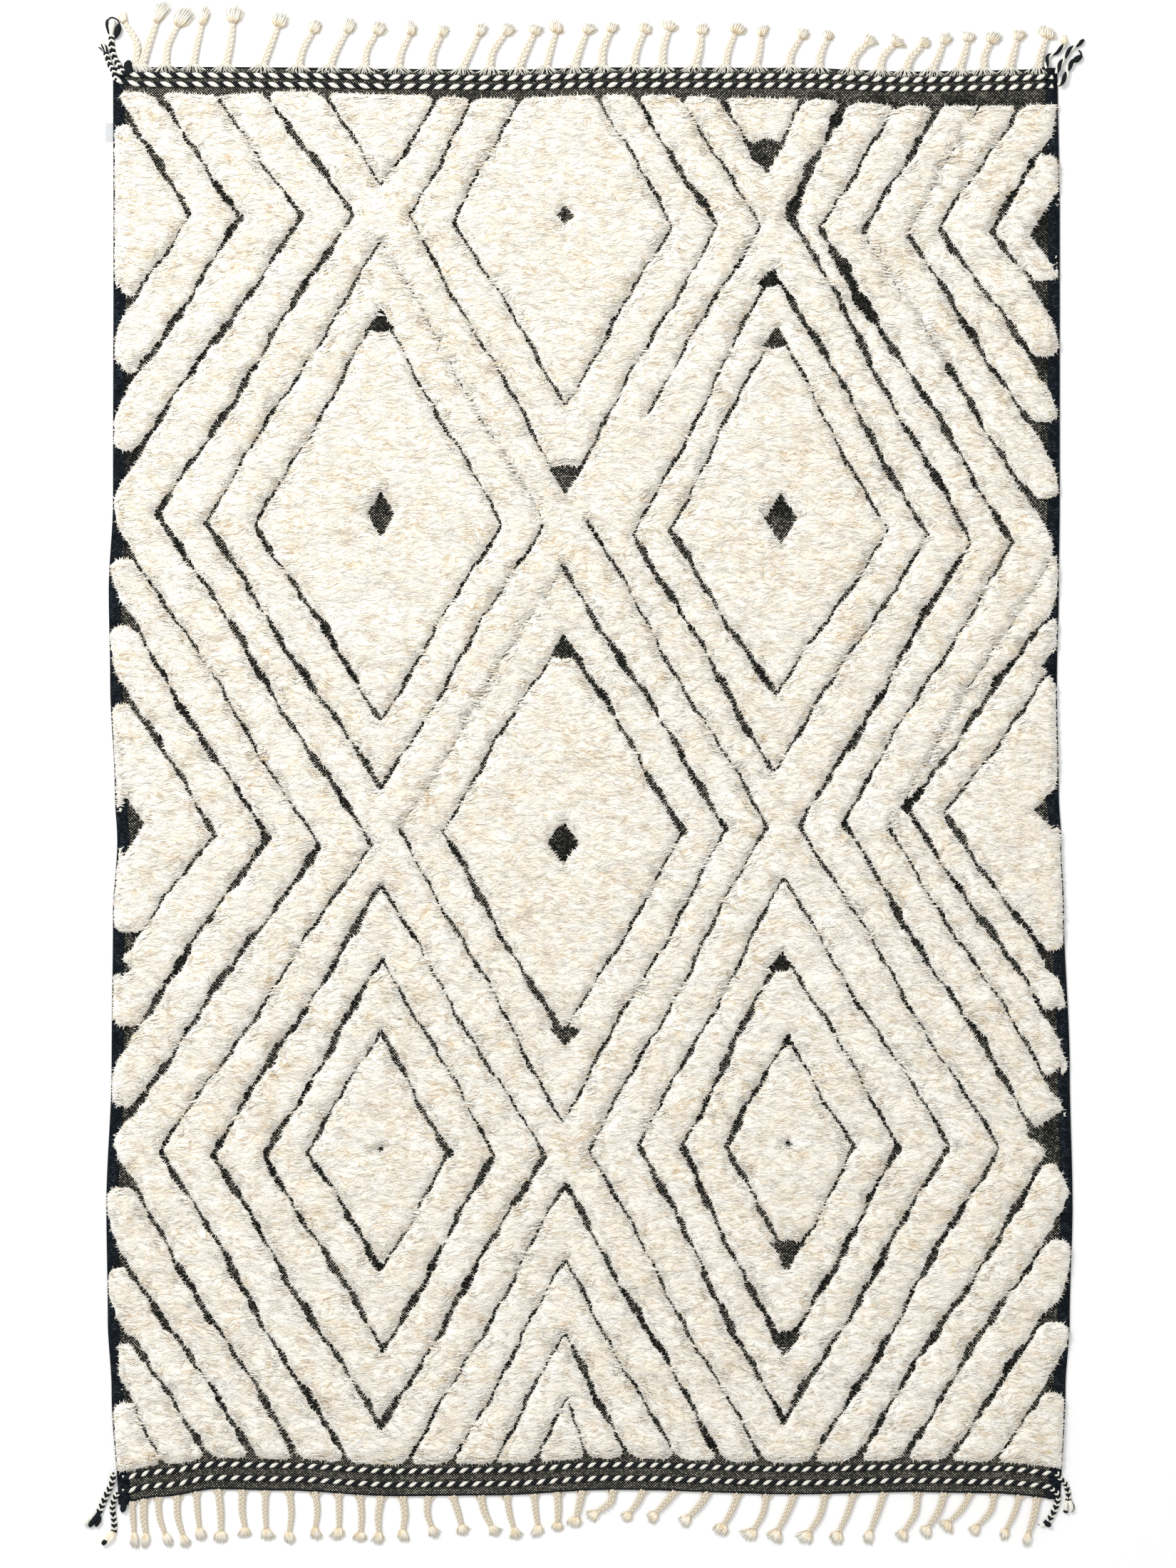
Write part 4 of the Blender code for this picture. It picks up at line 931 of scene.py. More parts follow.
def lay_out_locks(mesh, count, faces):
    """Gives each lock its own cell of the OFBake UV map, its faces side by side."""
    side = math.ceil(math.sqrt(count))
    cell = np.stack((np.arange(count) % side, np.arange(count) // side), axis=1)
    low = np.arange(faces) / faces
    high = low + 0.9 / faces
    local = np.stack((
        np.stack((low, low, high), -1), np.broadcast_to((0.05, 0.95, 0.5), (faces, 3)),
    ), -1).reshape(1, faces * 3, 2)
    places = (cell[:, None, :] + local) / side
    layer = mesh.uv_layers.new(name="OFBake")
    layer.data.foreach_set("uv", places.astype(np.float32).ravel())


def wool():
    """Undyed cream wool: near white at the tips, with fine wavy lines of painted honey shade in the gaps
    between the locks.
    """
    finish = Finish("cream pile wool", 0.95)
    at = finish.places()
    wander = (finish.noise(15.0) - 0.5) * 0.060 + (finish.noise(48.0) - 0.5) * 0.012

    def lain(scale, stretch, detail):
        across = finish.axis(at, 0) * stretch
        lying = finish.node("CombineXYZ", {}, {0: across, 1: finish.axis(at, 1) + wander})
        return finish.node("TexNoise", {}, {"Vector": lying, "Scale": scale, "Detail": detail})

    fibres = lain(560.0, 0.16, 3.0)
    painted_gap_shade_noise = lain(120.0, 0.20, 2.0)
    # Thin wavy lines of painted shade in the gaps between the locks, shown in patches.
    thin = 1.0 - ((painted_gap_shade_noise - 0.5).maths("ABSOLUTE") * 22.0).maths("MINIMUM", 1.0)
    shown = ((finish.noise(26.0) - 0.42) * 5.0).held()
    tone = finish.node("Attribute", {"attribute_name": "tone"}, {}, out=2)
    share = tone + (fibres - 0.5) * 0.60 - thin * shown * 0.34
    share = share + (finish.noise(5.0) - 0.5) * 0.22 + (lain(42.0, 0.45, 2.0) - 0.5) * 0.45
    finish.colour(finish.ramp(
        share,
        (0.05, (0.66, 0.49, 0.30, 1.0)), (0.30, (0.83, 0.73, 0.57, 1.0)),
        (0.52, (0.91, 0.865, 0.77, 1.0)), (0.80, (0.975, 0.962, 0.92, 1.0)),
    ))
    finish.bump(fibres - thin * 0.5, 0.0016)
    return finish.material


pile = PileMap(chart_channels())
pile_wool = wool()
add_piece("knotted_slab", build_slab(pile), [pile_wool], ["rug_field"])
rolls = np.random.default_rng(LOCK_SEED)
long_locks = lay_locks(pile, rolls)
pieces_of_locks = math.ceil(len(long_locks[0]) / LOCKS_PER_PIECE)
order = np.argsort(long_locks[1])
for number, part in enumerate(np.array_split(order, pieces_of_locks), 1):
    laid = [value[..., part] for value in long_locks]
    mesh = lock_mesh(f"locks_{number}", pile, laid, rolls, LOCK_LIFT)
    add_piece(f"locks_{number}", mesh, [pile_wool], ["rug_field"])
hairs = lock_mesh("edge_hairs", pile, lay_hairs(pile, rolls), rolls, LOCK_LIFT * 0.6)
add_piece("edge_hairs", hairs, [pile_wool], ["rug_field"])


# The twined rows: along each end two thick wool yarns, one white and one black, are twisted round
# each other over the weft, so that white and black beads take turns. Two rows run along each end.
Row = namedtuple("Row", "name end inset")
TWINED_ROWS = (
    Row("twine_top_outer", "top", 0.0185),
    Row("twine_top_inner", "top", 0.0375),
    Row("twine_bottom_outer", "bottom", 0.0255),
    Row("twine_bottom_inner", "bottom", 0.0540),
)
Twining = namedtuple("Twining", "pitch_left pitch_right swing white black")
TWINING = {
    "top": Twining(0.0335, 0.0275, 0.0020, 0.0050, 0.0046),
    "bottom": Twining(0.0268, 0.0268, 0.0025, 0.0040, 0.0050),
}
ROW_CURL = {"top": 0.011, "bottom": 0.0}
CURL_LENGTH = 0.022
TWINE_RISE = 0.0017
TWINE_FLAT = 0.55
TWINE_STEP = 0.0031
TURNED_UP_TO = -0.42
TWINE_SHORT = 0.010
YARN_PLY = 0.0045


def run_along(points):
    """How far along a line each of its points lies."""
    return np.concatenate(([0.0], np.linalg.norm(np.diff(points, axis=0), axis=1).cumsum()))


def heading(points):
    """The direction in which a line runs at each of its points."""
    ahead = np.gradient(points, axis=0)
    return ahead / np.linalg.norm(ahead, axis=1)[:, None]


def beside(ahead):
    """The direction on the floor a quarter turn to the left of a heading."""
    return np.stack((-ahead[..., 1], ahead[..., 0]), -1)


def sweep(name, strands, sides, flat=1.0):
    """Joins yarns into one mesh. Each strand is its points, its radius at each and its material's number."""
    corners, faces, places, numbers = [], [], [], []
    angles = np.arange(sides) * math.tau / sides
    first = 0
    for points, radius, material in strands:
        count = len(points)
        ahead = heading(points)
        beside_it = np.cross((0.0, 0.0, 1.0), ahead)
        beside_it /= np.linalg.norm(beside_it, axis=1)[:, None] + 1e-9
        over = np.cross(ahead, beside_it)
        radius = np.broadcast_to(radius, count)
        rings = points[:, None] + radius[:, None, None] * (
            np.cos(angles)[None, :, None] * beside_it[:, None]
            + np.sin(angles)[None, :, None] * over[:, None] * flat
        )
        corners.append(rings.reshape(-1, 3))
        run = run_along(points)
        ring, spoke = np.meshgrid(np.arange(count - 1), np.arange(sides), indexing="ij")
        after = (spoke + 1) % sides
        here = ring * sides
        above = here + sides
        quads = np.stack((here + spoke, here + after, above + after, above + spoke), -1)
        faces += (quads.reshape(-1, 4) + first).tolist()
        along = np.stack((run[ring], run[ring], run[ring + 1], run[ring + 1]), -1)
        around = np.stack((spoke, spoke + 1, spoke + 1, spoke), -1) / sides
        places.append(np.stack((along, around), -1).reshape(-1, 2))
        last = first + (count - 1) * sides
        faces.append(list(range(first + sides - 1, first - 1, -1)))
        faces.append(list(range(last, last + sides)))
        places.append(np.zeros((2 * sides, 2)))
        numbers += [material] * (len(quads.reshape(-1, 4)) + 2)
        first += count * sides
    mesh = bpy.data.meshes.new(name)
    mesh.from_pydata(np.vstack(corners), [], faces)
    mesh.uv_layers.new(name="Yarn").data.foreach_set("uv", np.vstack(places).astype(np.float32).ravel())
    mesh.polygons.foreach_set("material_index", numbers)
    mesh.shade_smooth()
    return mesh


def spun_yarn(name, light, painted_groove_shade, ply=YARN_PLY):
    """Plied wool yarn: slanting plies along its length, with painted shade in the grooves between them."""
    finish = Finish(name, 0.9)
    place = finish.node("UVMap", {"uv_map": "Yarn"}, {})
    along, around = finish.axis(place, 0), finish.axis(place, 1)
    groove = (((along / ply + around * 3.0) * math.tau).maths("SINE") + 1.0) * 0.5
    fuzz = finish.noise(600.0)
    finish.colour(finish.mix((groove * 0.6 + fuzz * 0.5).maths("MINIMUM", 1.0), painted_groove_shade, light))
    finish.bump(groove + fuzz * 0.5, 0.0006)
    return finish.material


# Each yarn is given its colour and then the painted shade of its grooves.
white_twine = spun_yarn("white twining yarn", (0.93, 0.92, 0.84, 1.0), (0.76, 0.73, 0.62, 1.0))
black_twine = spun_yarn("black twining yarn", (0.020, 0.024, 0.028, 1.0), (0.006, 0.007, 0.008, 1.0))


def twined_row(row):
    """Two yarns turned round each other from side to side, on the left of the top the other way."""
    inward = -1 if row.end == "top" else 1
    side_y = 1.5 * -inward
    start = edge_at(SIDES, "left", side_y) + TWINE_SHORT
    stop = edge_at(SIDES, "right", side_y) - TWINE_SHORT
    x = np.arange(start, stop, TWINE_STEP)
    hand = np.where(x < TURNED_UP_TO, -1.0, 1.0) if row.end == "top" else np.ones_like(x)
    twining = TWINING[row.end]
    pitch = np.linspace(twining.pitch_left, twining.pitch_right, len(x))
    turns = np.cumsum(TWINE_STEP * math.tau / pitch) + 0.8 * drift(x, 0 * x, 0.5, len(row.name))
    curl = ROW_CURL[row.end] * np.exp((start - x) / CURL_LENGTH)
    middle = edge(ENDS, row.end, x) + inward * row.inset + curl
    strands = []
    for number, (half, phase) in enumerate(((twining.white, 0.0), (twining.black, math.pi))):
        over = np.cos(turns + phase)
        y = middle + twining.swing * hand * np.sin(turns + phase)
        z = GROUND_TOP + half * TWINE_FLAT + TWINE_RISE * (1 + over)
        strands.append((np.stack((x, y, z), -1), half * (0.76 + 0.24 * over), number))
    return sweep(row.name.replace("twine", "twined"), strands, 6, TWINE_FLAT)


for row in TWINED_ROWS:
    mesh = twined_row(row)
    add_piece(mesh.name, mesh, [white_twine, black_twine], [row.name])


# The hem cord: a black yarn laid along each end's edge, where the weaving was turned and closed.
HEM_HALF = 0.0024
HEM_SHORT = (0.012, 0.010)
HEM_STEP = 0.008
HEM_SINK = 0.001


def hem_cord(end):
    start = edge_at(SIDES, "left", 0) + HEM_SHORT[0]
    x = np.arange(start, edge_at(SIDES, "right", 0) - HEM_SHORT[1], HEM_STEP)
    y = edge(ENDS, end, x) - (HEM_HALF if end == "top" else -HEM_HALF)
    z = np.full_like(x, GROUND_TOP - HEM_SINK)
    return sweep(f"hem_cord_{end}", [(np.stack((x, y, z), -1), HEM_HALF, 0)], 6)


for end in ("top", "bottom"):
    add_piece(f"hem_cord_{end}", hem_cord(end), [black_twine])


# The fringes: the warp ends of each end are gathered in bunches, plaited flat in three strands and
# tied, with loose wool beyond the tie. They lie on the floor, the top ones all leaning to the right.
Stretch = namedtuple("Stretch", "x pitch lean braid tuft")
TOP_FRINGE = (
    Stretch(-0.936, 0.055, 0.034, 0.086, 0.052),
    Stretch(-0.805, 0.075, 0.022, 0.084, 0.038),
    Stretch(-0.515, 0.072, 0.030, 0.066, 0.032),
    Stretch(-0.300, 0.066, 0.027, 0.068, 0.030),
    Stretch(-0.174, 0.056, 0.028, 0.066, 0.028),
    Stretch(0.114, 0.068, 0.022, 0.068, 0.028),
    Stretch(0.449, 0.068, 0.020, 0.060, 0.024),
    Stretch(0.591, 0.060, 0.032, 0.052, 0.024),
    Stretch(0.950, 0.056, 0.018, 0.056, 0.028),
)
BOTTOM_FRINGE = (
    Stretch(-0.956, 0.028, 0.006, 0.060, 0.046),
    Stretch(-0.880, 0.040, 0.012, 0.076, 0.034),
    Stretch(-0.723, 0.050, 0.000, 0.080, 0.032),
    Stretch(-0.410, 0.050, -0.003, 0.068, 0.030),
    Stretch(-0.258, 0.055, 0.018, 0.060, 0.034),
    Stretch(-0.120, 0.056, 0.012, 0.064, 0.028),
    Stretch(0.060, 0.066, -0.026, 0.046, 0.028),
    Stretch(0.213, 0.067, -0.038, 0.042, 0.028),
    Stretch(0.380, 0.060, -0.032, 0.074, 0.036),
    Stretch(0.583, 0.066, -0.026, 0.080, 0.032),
    Stretch(0.843, 0.056, -0.042, 0.060, 0.026),
    Stretch(0.955, 0.032, -0.018, 0.066, 0.036),
)
Strand = namedtuple("Strand", "x lean braid tuft bow wide")
FRINGES = {"top": TOP_FRINGE, "bottom": BOTTOM_FRINGE}
FRINGE_SEEDS = {"top": 13, "bottom": 3}
FRINGE_END = 0.972
FRINGE_STRIP = 0.004
ROOT_GAP = 0.0003
TUFT_WIDTH = 0.031
TUFT_ROOM = 0.60
TUFT_HEIGHT = 0.011
PLAIT_PITCH = 0.026
PLAIT_SWING = 0.0046
PLAIT_RISE = 0.0013
PLAIT_HALF = 0.0031
PLAIT_STEP = 0.0027
NECK_SHARE = 0.60
PLAIT_SIZE = {"top": 1.20, "bottom": 1.04}
TUFT_SPREAD = {"top": 1.34, "bottom": 1.10}
TUFT_REACH = {"top": 0.95, "bottom": 0.80}
TUFT_FIBRES = 56
FIBRE_HALF = 0.0009
FAN_THREADS = 15
FAN_SPREAD = 0.029
FAN_DROP = 0.015
FAN_HALF = 0.0011
FAN_RISE = ((0, 0.3, 0.8, 1), (0.0062, 0.0078, 0.0086, 0.0060))
ROOT_SPREAD = 0.012
ROOT_DROP = 0.013
ROOT_HALF = 0.0020
PLAIT_PLY = 0.0050
# Each end's plaited yarn: its colour, then the painted shade in the grooves between its plies.
PLAIT_COLOURS = {
    "top": ((0.93, 0.89, 0.79, 1.0), (0.66, 0.55, 0.41, 1.0)),
    "bottom": ((0.93, 0.87, 0.73, 1.0), (0.47, 0.37, 0.25, 1.0)),
}
YARN, THREAD = 0, 1
# A tuft's fibre has three places along it. Each tuft lies somewhere between full at once and opening
# towards its end, round a core of a few thick soft fibres.
FIBRE_SHARES = np.array((0.0, 0.34, 1.0))
FIBRE_TAPER = np.array((0.8, 1.1, 0.2))
FIBRE_STRAY = 0.0014
FULL_AT_ONCE = np.array((0.24, 0.92, 0.92))
OPENING = np.array((0.24, 0.55, 1.10))
CORE_FIBRES = 5
CORE_PITCH = 0.27
CORE_SIZE = 4.6
# One more plait at the top left corner leans away from the others.
STRAY = {"top": (Strand(-0.950, -0.020, 0.090, 0.024, 0.0110, 0.022),), "bottom": ()}


def fringe_strands(end):
    """Place, lean and lengths of each braid of a fringe, in order across the rug."""
    stretches = FRINGES[end]
    rolls = random.Random(FRINGE_SEEDS[end])
    x = stretches[0].x
    while x < FRINGE_END:
        pitch = edge_at(stretches, "pitch", x)
        lean = edge_at(stretches, "lean", x) + rolls.uniform(-0.12, 0.12) * pitch
        braid = edge_at(stretches, "braid", x) * rolls.uniform(0.92, 1.08)
        tuft = edge_at(stretches, "tuft", x) * rolls.uniform(0.85, 1.15)
        bow = rolls.uniform(-0.10, 0.10) * pitch
        wide = min(TUFT_WIDTH * rolls.uniform(0.75, 1.15), TUFT_ROOM * pitch)
        yield Strand(x, lean, braid, tuft, bow, wide)
        x += pitch * rolls.uniform(0.88, 1.09)


def flowing(points, step):
    """A smooth line through a few points, with a point every step."""
    points = np.array(points, float)
    padded = np.vstack((2 * points[0] - points[1], points, 2 * points[-1] - points[-2]))
    line = []
    for before, start, stop, after in zip(padded, padded[1:], padded[2:], padded[3:]):
        count = max(2, round(float(np.linalg.norm(stop - start)) / step))
        t = (np.arange(count) / count)[:, None]
        line.append(0.5 * (
            2 * start + (stop - before) * t + (2 * before - 5 * start + 4 * stop - after) * t**2
            + (3 * start - before - 3 * stop + after) * t**3
        ))
    return np.vstack((*line, points[-1:]))


def plait(route, size, phase):
    """Three strands plaited flat along a route that lies on the floor, drawn tight towards its end."""
    line = flowing(route, PLAIT_STEP * size)
    side = beside(heading(line))
    run = run_along(line)
    tight = 1 - (1 - NECK_SHARE) * (run / run[-1]) ** 3
    strands = []
    for number in range(3):
        turn = run * math.tau / (PLAIT_PITCH * size) + number * math.tau / 3 + phase
        flat = line + side * (PLAIT_SWING * size * tight * np.sin(turn))[:, None]
        radius = PLAIT_HALF * size * (0.5 + 0.5 * tight)
        z = radius + PLAIT_RISE * size * (1 + np.sin(2 * turn))
        strands.append((np.column_stack((flat, z)), radius, YARN))
    return strands


def tuft(neck, out, length, wide, material, rolls):
    """Loose wool beyond a tie: fine tapered fibres that bulge at once and stay wide, round a soft core."""
    side = beside(out)
    fibres = []
    lean = rolls.uniform(-0.25, 0.25)
    full = rolls.uniform(0.0, 1.0)
    bulge = full * FULL_AT_ONCE + (1 - full) * OPENING
    for number in range(TUFT_FIBRES):
        inner = number < CORE_FIBRES
        place = (number - CORE_FIBRES // 2) * CORE_PITCH if inner else rolls.uniform(-1, 1)
        reach = length * (1.06 - 0.30 * place * place) * (0.86 if inner else rolls.uniform(0.80, 1.10))
        high = 0.3 if inner else rolls.uniform(0.1, 1.0) * (1 - 0.6 * abs(place))
        half = FIBRE_HALF * (CORE_SIZE if inner else rolls.uniform(0.8, 1.3))
        off = place * wide / 2 * bulge + lean * reach * FIBRE_SHARES**2
        off += rolls.normal(0, FIBRE_STRAY, 3) * FIBRE_SHARES
        spots = neck + np.outer(reach * FIBRE_SHARES, out) + np.outer(off, side)
        lift = half + high * TUFT_HEIGHT * 0.8 * np.sin(math.pi * (0.15 + 0.75 * FIBRE_SHARES))
        fibres.append((np.column_stack((spots, lift)), half * FIBRE_TAPER, material))
    return fibres


def build_fringe(end):
    outward = 1 if end == "top" else -1
    rolls = np.random.default_rng(FRINGE_SEEDS[end])
    plaits, tufts = [], []
    for strand in [*fringe_strands(end), *STRAY[end]]:
        root = np.array((strand.x, edge_at(ENDS, end, strand.x) + outward * ROOT_GAP))
        base = root + (0.0, outward * FRINGE_STRIP)
        neck = base + (strand.lean, outward * strand.braid)
        bend = base + (strand.lean * 0.36 + strand.bow, outward * strand.braid * 0.5)
        out = (neck - bend) / np.linalg.norm(neck - bend)
        size = PLAIT_SIZE[end] * rolls.uniform(0.90, 1.08)
        plaits += plait((root, bend, neck), size, rolls.uniform(0, math.tau))
        wide = strand.wide * TUFT_SPREAD[end] * rolls.uniform(0.80, 1.18)
        tufts += tuft(neck, out, strand.tuft * TUFT_REACH[end], wide, YARN, rolls)
        plaits += warp_fan(root, rolls) if end == "top" else root_web(root, bend, rolls)
    return sweep(f"plaits_{end}", plaits, 5), sweep(f"tufts_{end}", tufts, 3)


def root_web(root, bend, rolls):
    """Warp threads that come from both sides of a plait's root and join it a little further down."""
    threads = []
    joined = root + (bend - root) / np.linalg.norm(bend - root) * ROOT_DROP
    for place in (-1.0, -0.5, 0.5, 1.0):
        start = root + (place * ROOT_SPREAD * rolls.uniform(0.7, 1.2), 0.0)
        points = flowing((start, start * 0.45 + joined * 0.55 + (place * 0.0025, 0.0), joined), 0.005)
        height = np.linspace(0.0032, 0.0040, len(points))
        threads.append((np.column_stack((points, height)), ROOT_HALF, YARN))
    return threads


def warp_fan(root, rolls):
    """The threads that run over the hem and gather into a plait."""
    threads = []
    for number in range(FAN_THREADS):
        place = 2 * number / (FAN_THREADS - 1) - 1
        wander = rolls.normal(0, 0.0020, 2)
        drop = FAN_DROP * (1 - 0.45 * place * place) * rolls.uniform(0.75, 1.15)
        low = root + (place * FAN_SPREAD + wander[0], -drop)
        middle = root + (place * FAN_SPREAD * 0.66 + wander[1], -drop * 0.35 + 0.001)
        points = flowing((low, middle, root + (place * 0.005, 0.007)), 0.006)
        height = np.interp(np.linspace(0, 1, len(points)), *FAN_RISE)
        threads.append((np.column_stack((points, height)), FAN_HALF * rolls.uniform(0.7, 1.2), THREAD))
    return threads


def loose_wool():
    finish = Finish("loose fringe wool", 0.95)
    place = finish.node("UVMap", {"uv_map": "Yarn"}, {})
    from_tie = (finish.axis(place, 0) * 38.0).maths("MINIMUM", 1.0)
    finish.colour(finish.ramp(
        finish.noise(160.0, (1.0, 0.4, 1.0), 3.0) * 0.8 + from_tie * 0.26,
        (0.30, (0.80, 0.64, 0.42, 1.0)), (0.48, (0.95, 0.85, 0.67, 1.0)), (0.66, (0.99, 0.96, 0.87, 1.0)),
    ))
    finish.bump(finish.noise(1200.0), 0.0006)
    return finish.material


tuft_wool = loose_wool()
for end in FRINGES:
    plaits, tufts = build_fringe(end)
    plait_yarn = spun_yarn(f"cream plaited warp, {end}", *PLAIT_COLOURS[end], PLAIT_PLY)
    add_piece(plaits.name, plaits, [plait_yarn, white_twine], [f"fringe_{end}"])
    add_piece(tufts.name, tufts, [tuft_wool], [f"fringe_{end}"])


# The corners: the bound yarns of selvedge and hem run on into thin black and white plaits, two or
# three at each corner, that lie free on the floor and end in a knot, a loop, a brush or a clipped tip.
# Beside them the black yarn of the hem ends in a thick stub.
Corner = namedtuple("Corner", "name stub_half stub braids")
Braid = namedtuple("Braid", "yarns size tip points")
CORNERS = (
    Corner("top_left", 0.0092, ((-0.958, 1.489), (-0.963, 1.503), (-0.962, 1.515)), (
        Braid("chevron", 1.00, "loop", (
            (-0.975, 1.492), (-0.983, 1.506), (-0.992, 1.522),
            (-0.997, 1.537), (-0.999, 1.552), (-0.999, 1.568),
        )),
        Braid("chevron", 0.92, "brush", (
            (-0.989, 1.477), (-0.996, 1.497), (-1.003, 1.510), (-1.008, 1.524), (-1.012, 1.537),
        )),
    )),
    Corner("top_right", 0.0056, ((0.984, 1.492), (0.971, 1.500), (0.962, 1.502)), (
        Braid("twist", 0.66, "tuft", (
            (0.975, 1.500), (0.976, 1.516), (0.981, 1.527), (0.993, 1.533),
            (1.002, 1.539), (1.010, 1.546), (1.013, 1.552),
        )),
        Braid("twist", 0.72, "clipped", (
            (0.996, 1.489), (1.002, 1.505), (1.011, 1.518), (1.017, 1.531),
            (1.026, 1.540), (1.035, 1.547), (1.050, 1.558),
        )),
        Braid("twist", 0.84, "hook", (
            (1.001, 1.464), (1.008, 1.473), (1.017, 1.485),
            (1.020, 1.498), (1.026, 1.509), (1.035, 1.516),
        )),
    )),
    Corner("bottom_left", 0.0066, ((-0.974, -1.519), (-0.973, -1.533), (-0.976, -1.547)), (
        Braid("chevron", 0.96, "knot", (
            (-0.994, -1.465), (-0.997, -1.483), (-1.002, -1.496),
            (-1.009, -1.511), (-1.016, -1.527), (-1.026, -1.551),
        )),
        Braid("chevron", 0.92, "tassel", (
            (-0.986, -1.507), (-0.992, -1.519), (-0.997, -1.533),
            (-0.996, -1.549), (-0.993, -1.578), (-0.994, -1.590),
        )),
    )),
    Corner("bottom_right", 0.0076, ((0.972, -1.498), (0.981, -1.508), (0.986, -1.517)), (
        Braid("chevron", 0.84, "loops", (
            (0.996, -1.465), (1.005, -1.477), (1.015, -1.488),
            (1.020, -1.501), (1.022, -1.513), (1.022, -1.524),
        )),
        Braid("chevron", 0.92, "cap", (
            (0.986, -1.497), (0.995, -1.504), (1.000, -1.515),
            (0.998, -1.529), (0.993, -1.544), (0.981, -1.567),
        )),
    )),
)
WHITE, BLACK, CREAM = 0, 1, 2
# Each tip is a few lobes of yarn. A lobe is its yarn, its half width, how much that swells along it,
# and its places, all in millimetres, as reach beyond the plait's end and offset to its left.
TIPS = {
    "loop": (
        (BLACK, 3.4, (0.8, 1.0, 1.1, 0.6), ((0, 2), (12, 6), (28, 10), (36, 9))),
        (BLACK, 1.5, (1.0, 1.0, 1.0, 1.0), ((35, 9), (41, 0), (36, -12), (24, -18))),
        (WHITE, 6.4, (0.5, 0.9, 1.25, 0.8), ((0, 0), (12, -1), (26, -2), (35, -3))),
        (BLACK, 5.6, (0.4, 1.1, 1.2, 0.6), ((-4, -8), (6, -12), (16, -15), (26, -16))),
        (WHITE, 3.0, (0.8, 1.0, 0.8), ((2, 6), (3, 0), (-1, -7))),
    ),
    "brush": (
        (BLACK, 1.7, (1.0, 1.1, 0.4), ((-2, 2), (6, 6), (14, 12))),
        (WHITE, 1.7, (1.0, 1.1, 0.4), ((-2, 1), (6, 4), (15, 8))),
        (BLACK, 2.4, (1.0, 1.1, 0.4), ((-2, 0), (7, 2), (18, 4))),
        (WHITE, 2.2, (1.0, 1.1, 0.4), ((-2, -1), (10, -1), (30, 1))),
        (BLACK, 2.2, (1.0, 1.1, 0.4), ((-2, -3), (5, -4), (13, -5))),
    ),
    "clipped": (
        (BLACK, 3.6, (0.8, 1.0, 0.7), ((-6, 0), (2, 0), (6, 0))),
        (WHITE, 2.4, (0.7, 1.0, 0.7), ((-14, -2), (-10, -2), (-6, -2))),
    ),
    "hook": (
        (BLACK, 6.4, (0.6, 1.1, 0.9, 0.5), ((-3, 0), (5, 0), (13, 0), (19, -1))),
        (BLACK, 1.9, (1.1, 1.0, 1.0), ((17, 0), (22, 6), (21, 13))),
        (WHITE, 2.6, (0.7, 1.0, 0.7), ((2, -4), (5, -5), (8, -4))),
        (WHITE, 2.6, (0.8, 1.0, 0.8), ((-8, -4), (-6, 0), (-5, 4))),
    ),
    "knot": (
        (WHITE, 5.6, (0.6, 1.1, 0.9), ((13, -8), (22, -16), (33, -16))),
        (BLACK, 5.8, (0.8, 1.1, 1.1, 0.6), ((-1, 0), (10, -1), (20, -4), (33, -7))),
        (BLACK, 4.8, (0.8, 1.1, 0.7), ((4, 4), (14, 6), (27, 5))),
    ),
    "tassel": (
        (CREAM, 4.4, (0.6, 1.0, 1.1, 0.6), ((0, -3), (8, -12), (17, -20), (24, -25))),
        (CREAM, 5.2, (0.8, 1.0, 0.9, 0.5), ((0, 0), (10, -2), (20, -9), (29, -16))),
        (CREAM, 5.0, (0.8, 1.0, 1.0), ((0, -1), (9, -8), (18, -15))),
        (BLACK, 5.2, (0.7, 1.1, 0.7), ((17, -12), (22, -17), (28, -21))),
    ),
    "loops": (
        (WHITE, 4.4, (0.7, 1.0, 0.9), ((0, -2), (9, -5), (20, -6))),
        (WHITE, 5.0, (0.7, 1.0, 1.0, 0.6), ((0, 2), (8, 5), (17, 6), (23, 3))),
        (BLACK, 1.1, (1.0, 1.0, 1.0, 1.0), ((0, 5), (8, 11), (18, 12), (24, 7))),
        (BLACK, 2.8, (0.8, 1.0, 0.8), ((21, -10), (24, -6), (24, -1))),
    ),
    "cap": (
        (WHITE, 3.4, (1.0, 0.9, 0.3), ((2, -2), (12, -4), (20, -8))),
        (BLACK, 5.4, (0.7, 1.1, 0.8), ((4, -9), (7, 0), (7, 7))),
        (BLACK, 1.6, (0.8, 0.8), ((16, -15), (18, -16))),
    ),
}
CHEVRON_PITCH = 0.0068
CHEVRON_HALF = 0.0030
CHEVRON_SIDE = 0.0060
CHEVRON_REACH = 0.0060
ARMS = np.array((-1.0, -0.5, 0.0, 0.5, 1.0))
ARM_RISE = np.array((0.9, 1.5, 1.3, 1.5, 0.9))
ARM_SWELL = np.array((0.65, 1.0, 0.95, 1.0, 0.65))
TWIST_PITCH = 0.036
TWIST_SWING = 0.0030
TWIST_BLACK = 0.0058
TWIST_WHITE = 0.0044
TWIST_RISE = 0.0014
LAID_OVER = 0.0070
LAID_LENGTH = 0.034
LOBE_STEP = 0.0006
STUB_SWELL = ((0, 0.5, 0.85, 1), (0.85, 1.0, 1.0, 0.6))
CORNER_TUFT_WAY = np.array((0.1, 0.995))
CORNER_TUFT_SIZE = (0.022, 0.018)


def over_cloth(run):
    """The lift of a plait where it starts on the cloth, down to nothing on the floor."""
    return LAID_OVER * np.clip(1 - run / LAID_LENGTH, 0, 1)


def spot_at(line, run, at):
    """The place on a line at a length along it."""
    return np.array([np.interp(at, run, line[:, axis]) for axis in (0, 1)])


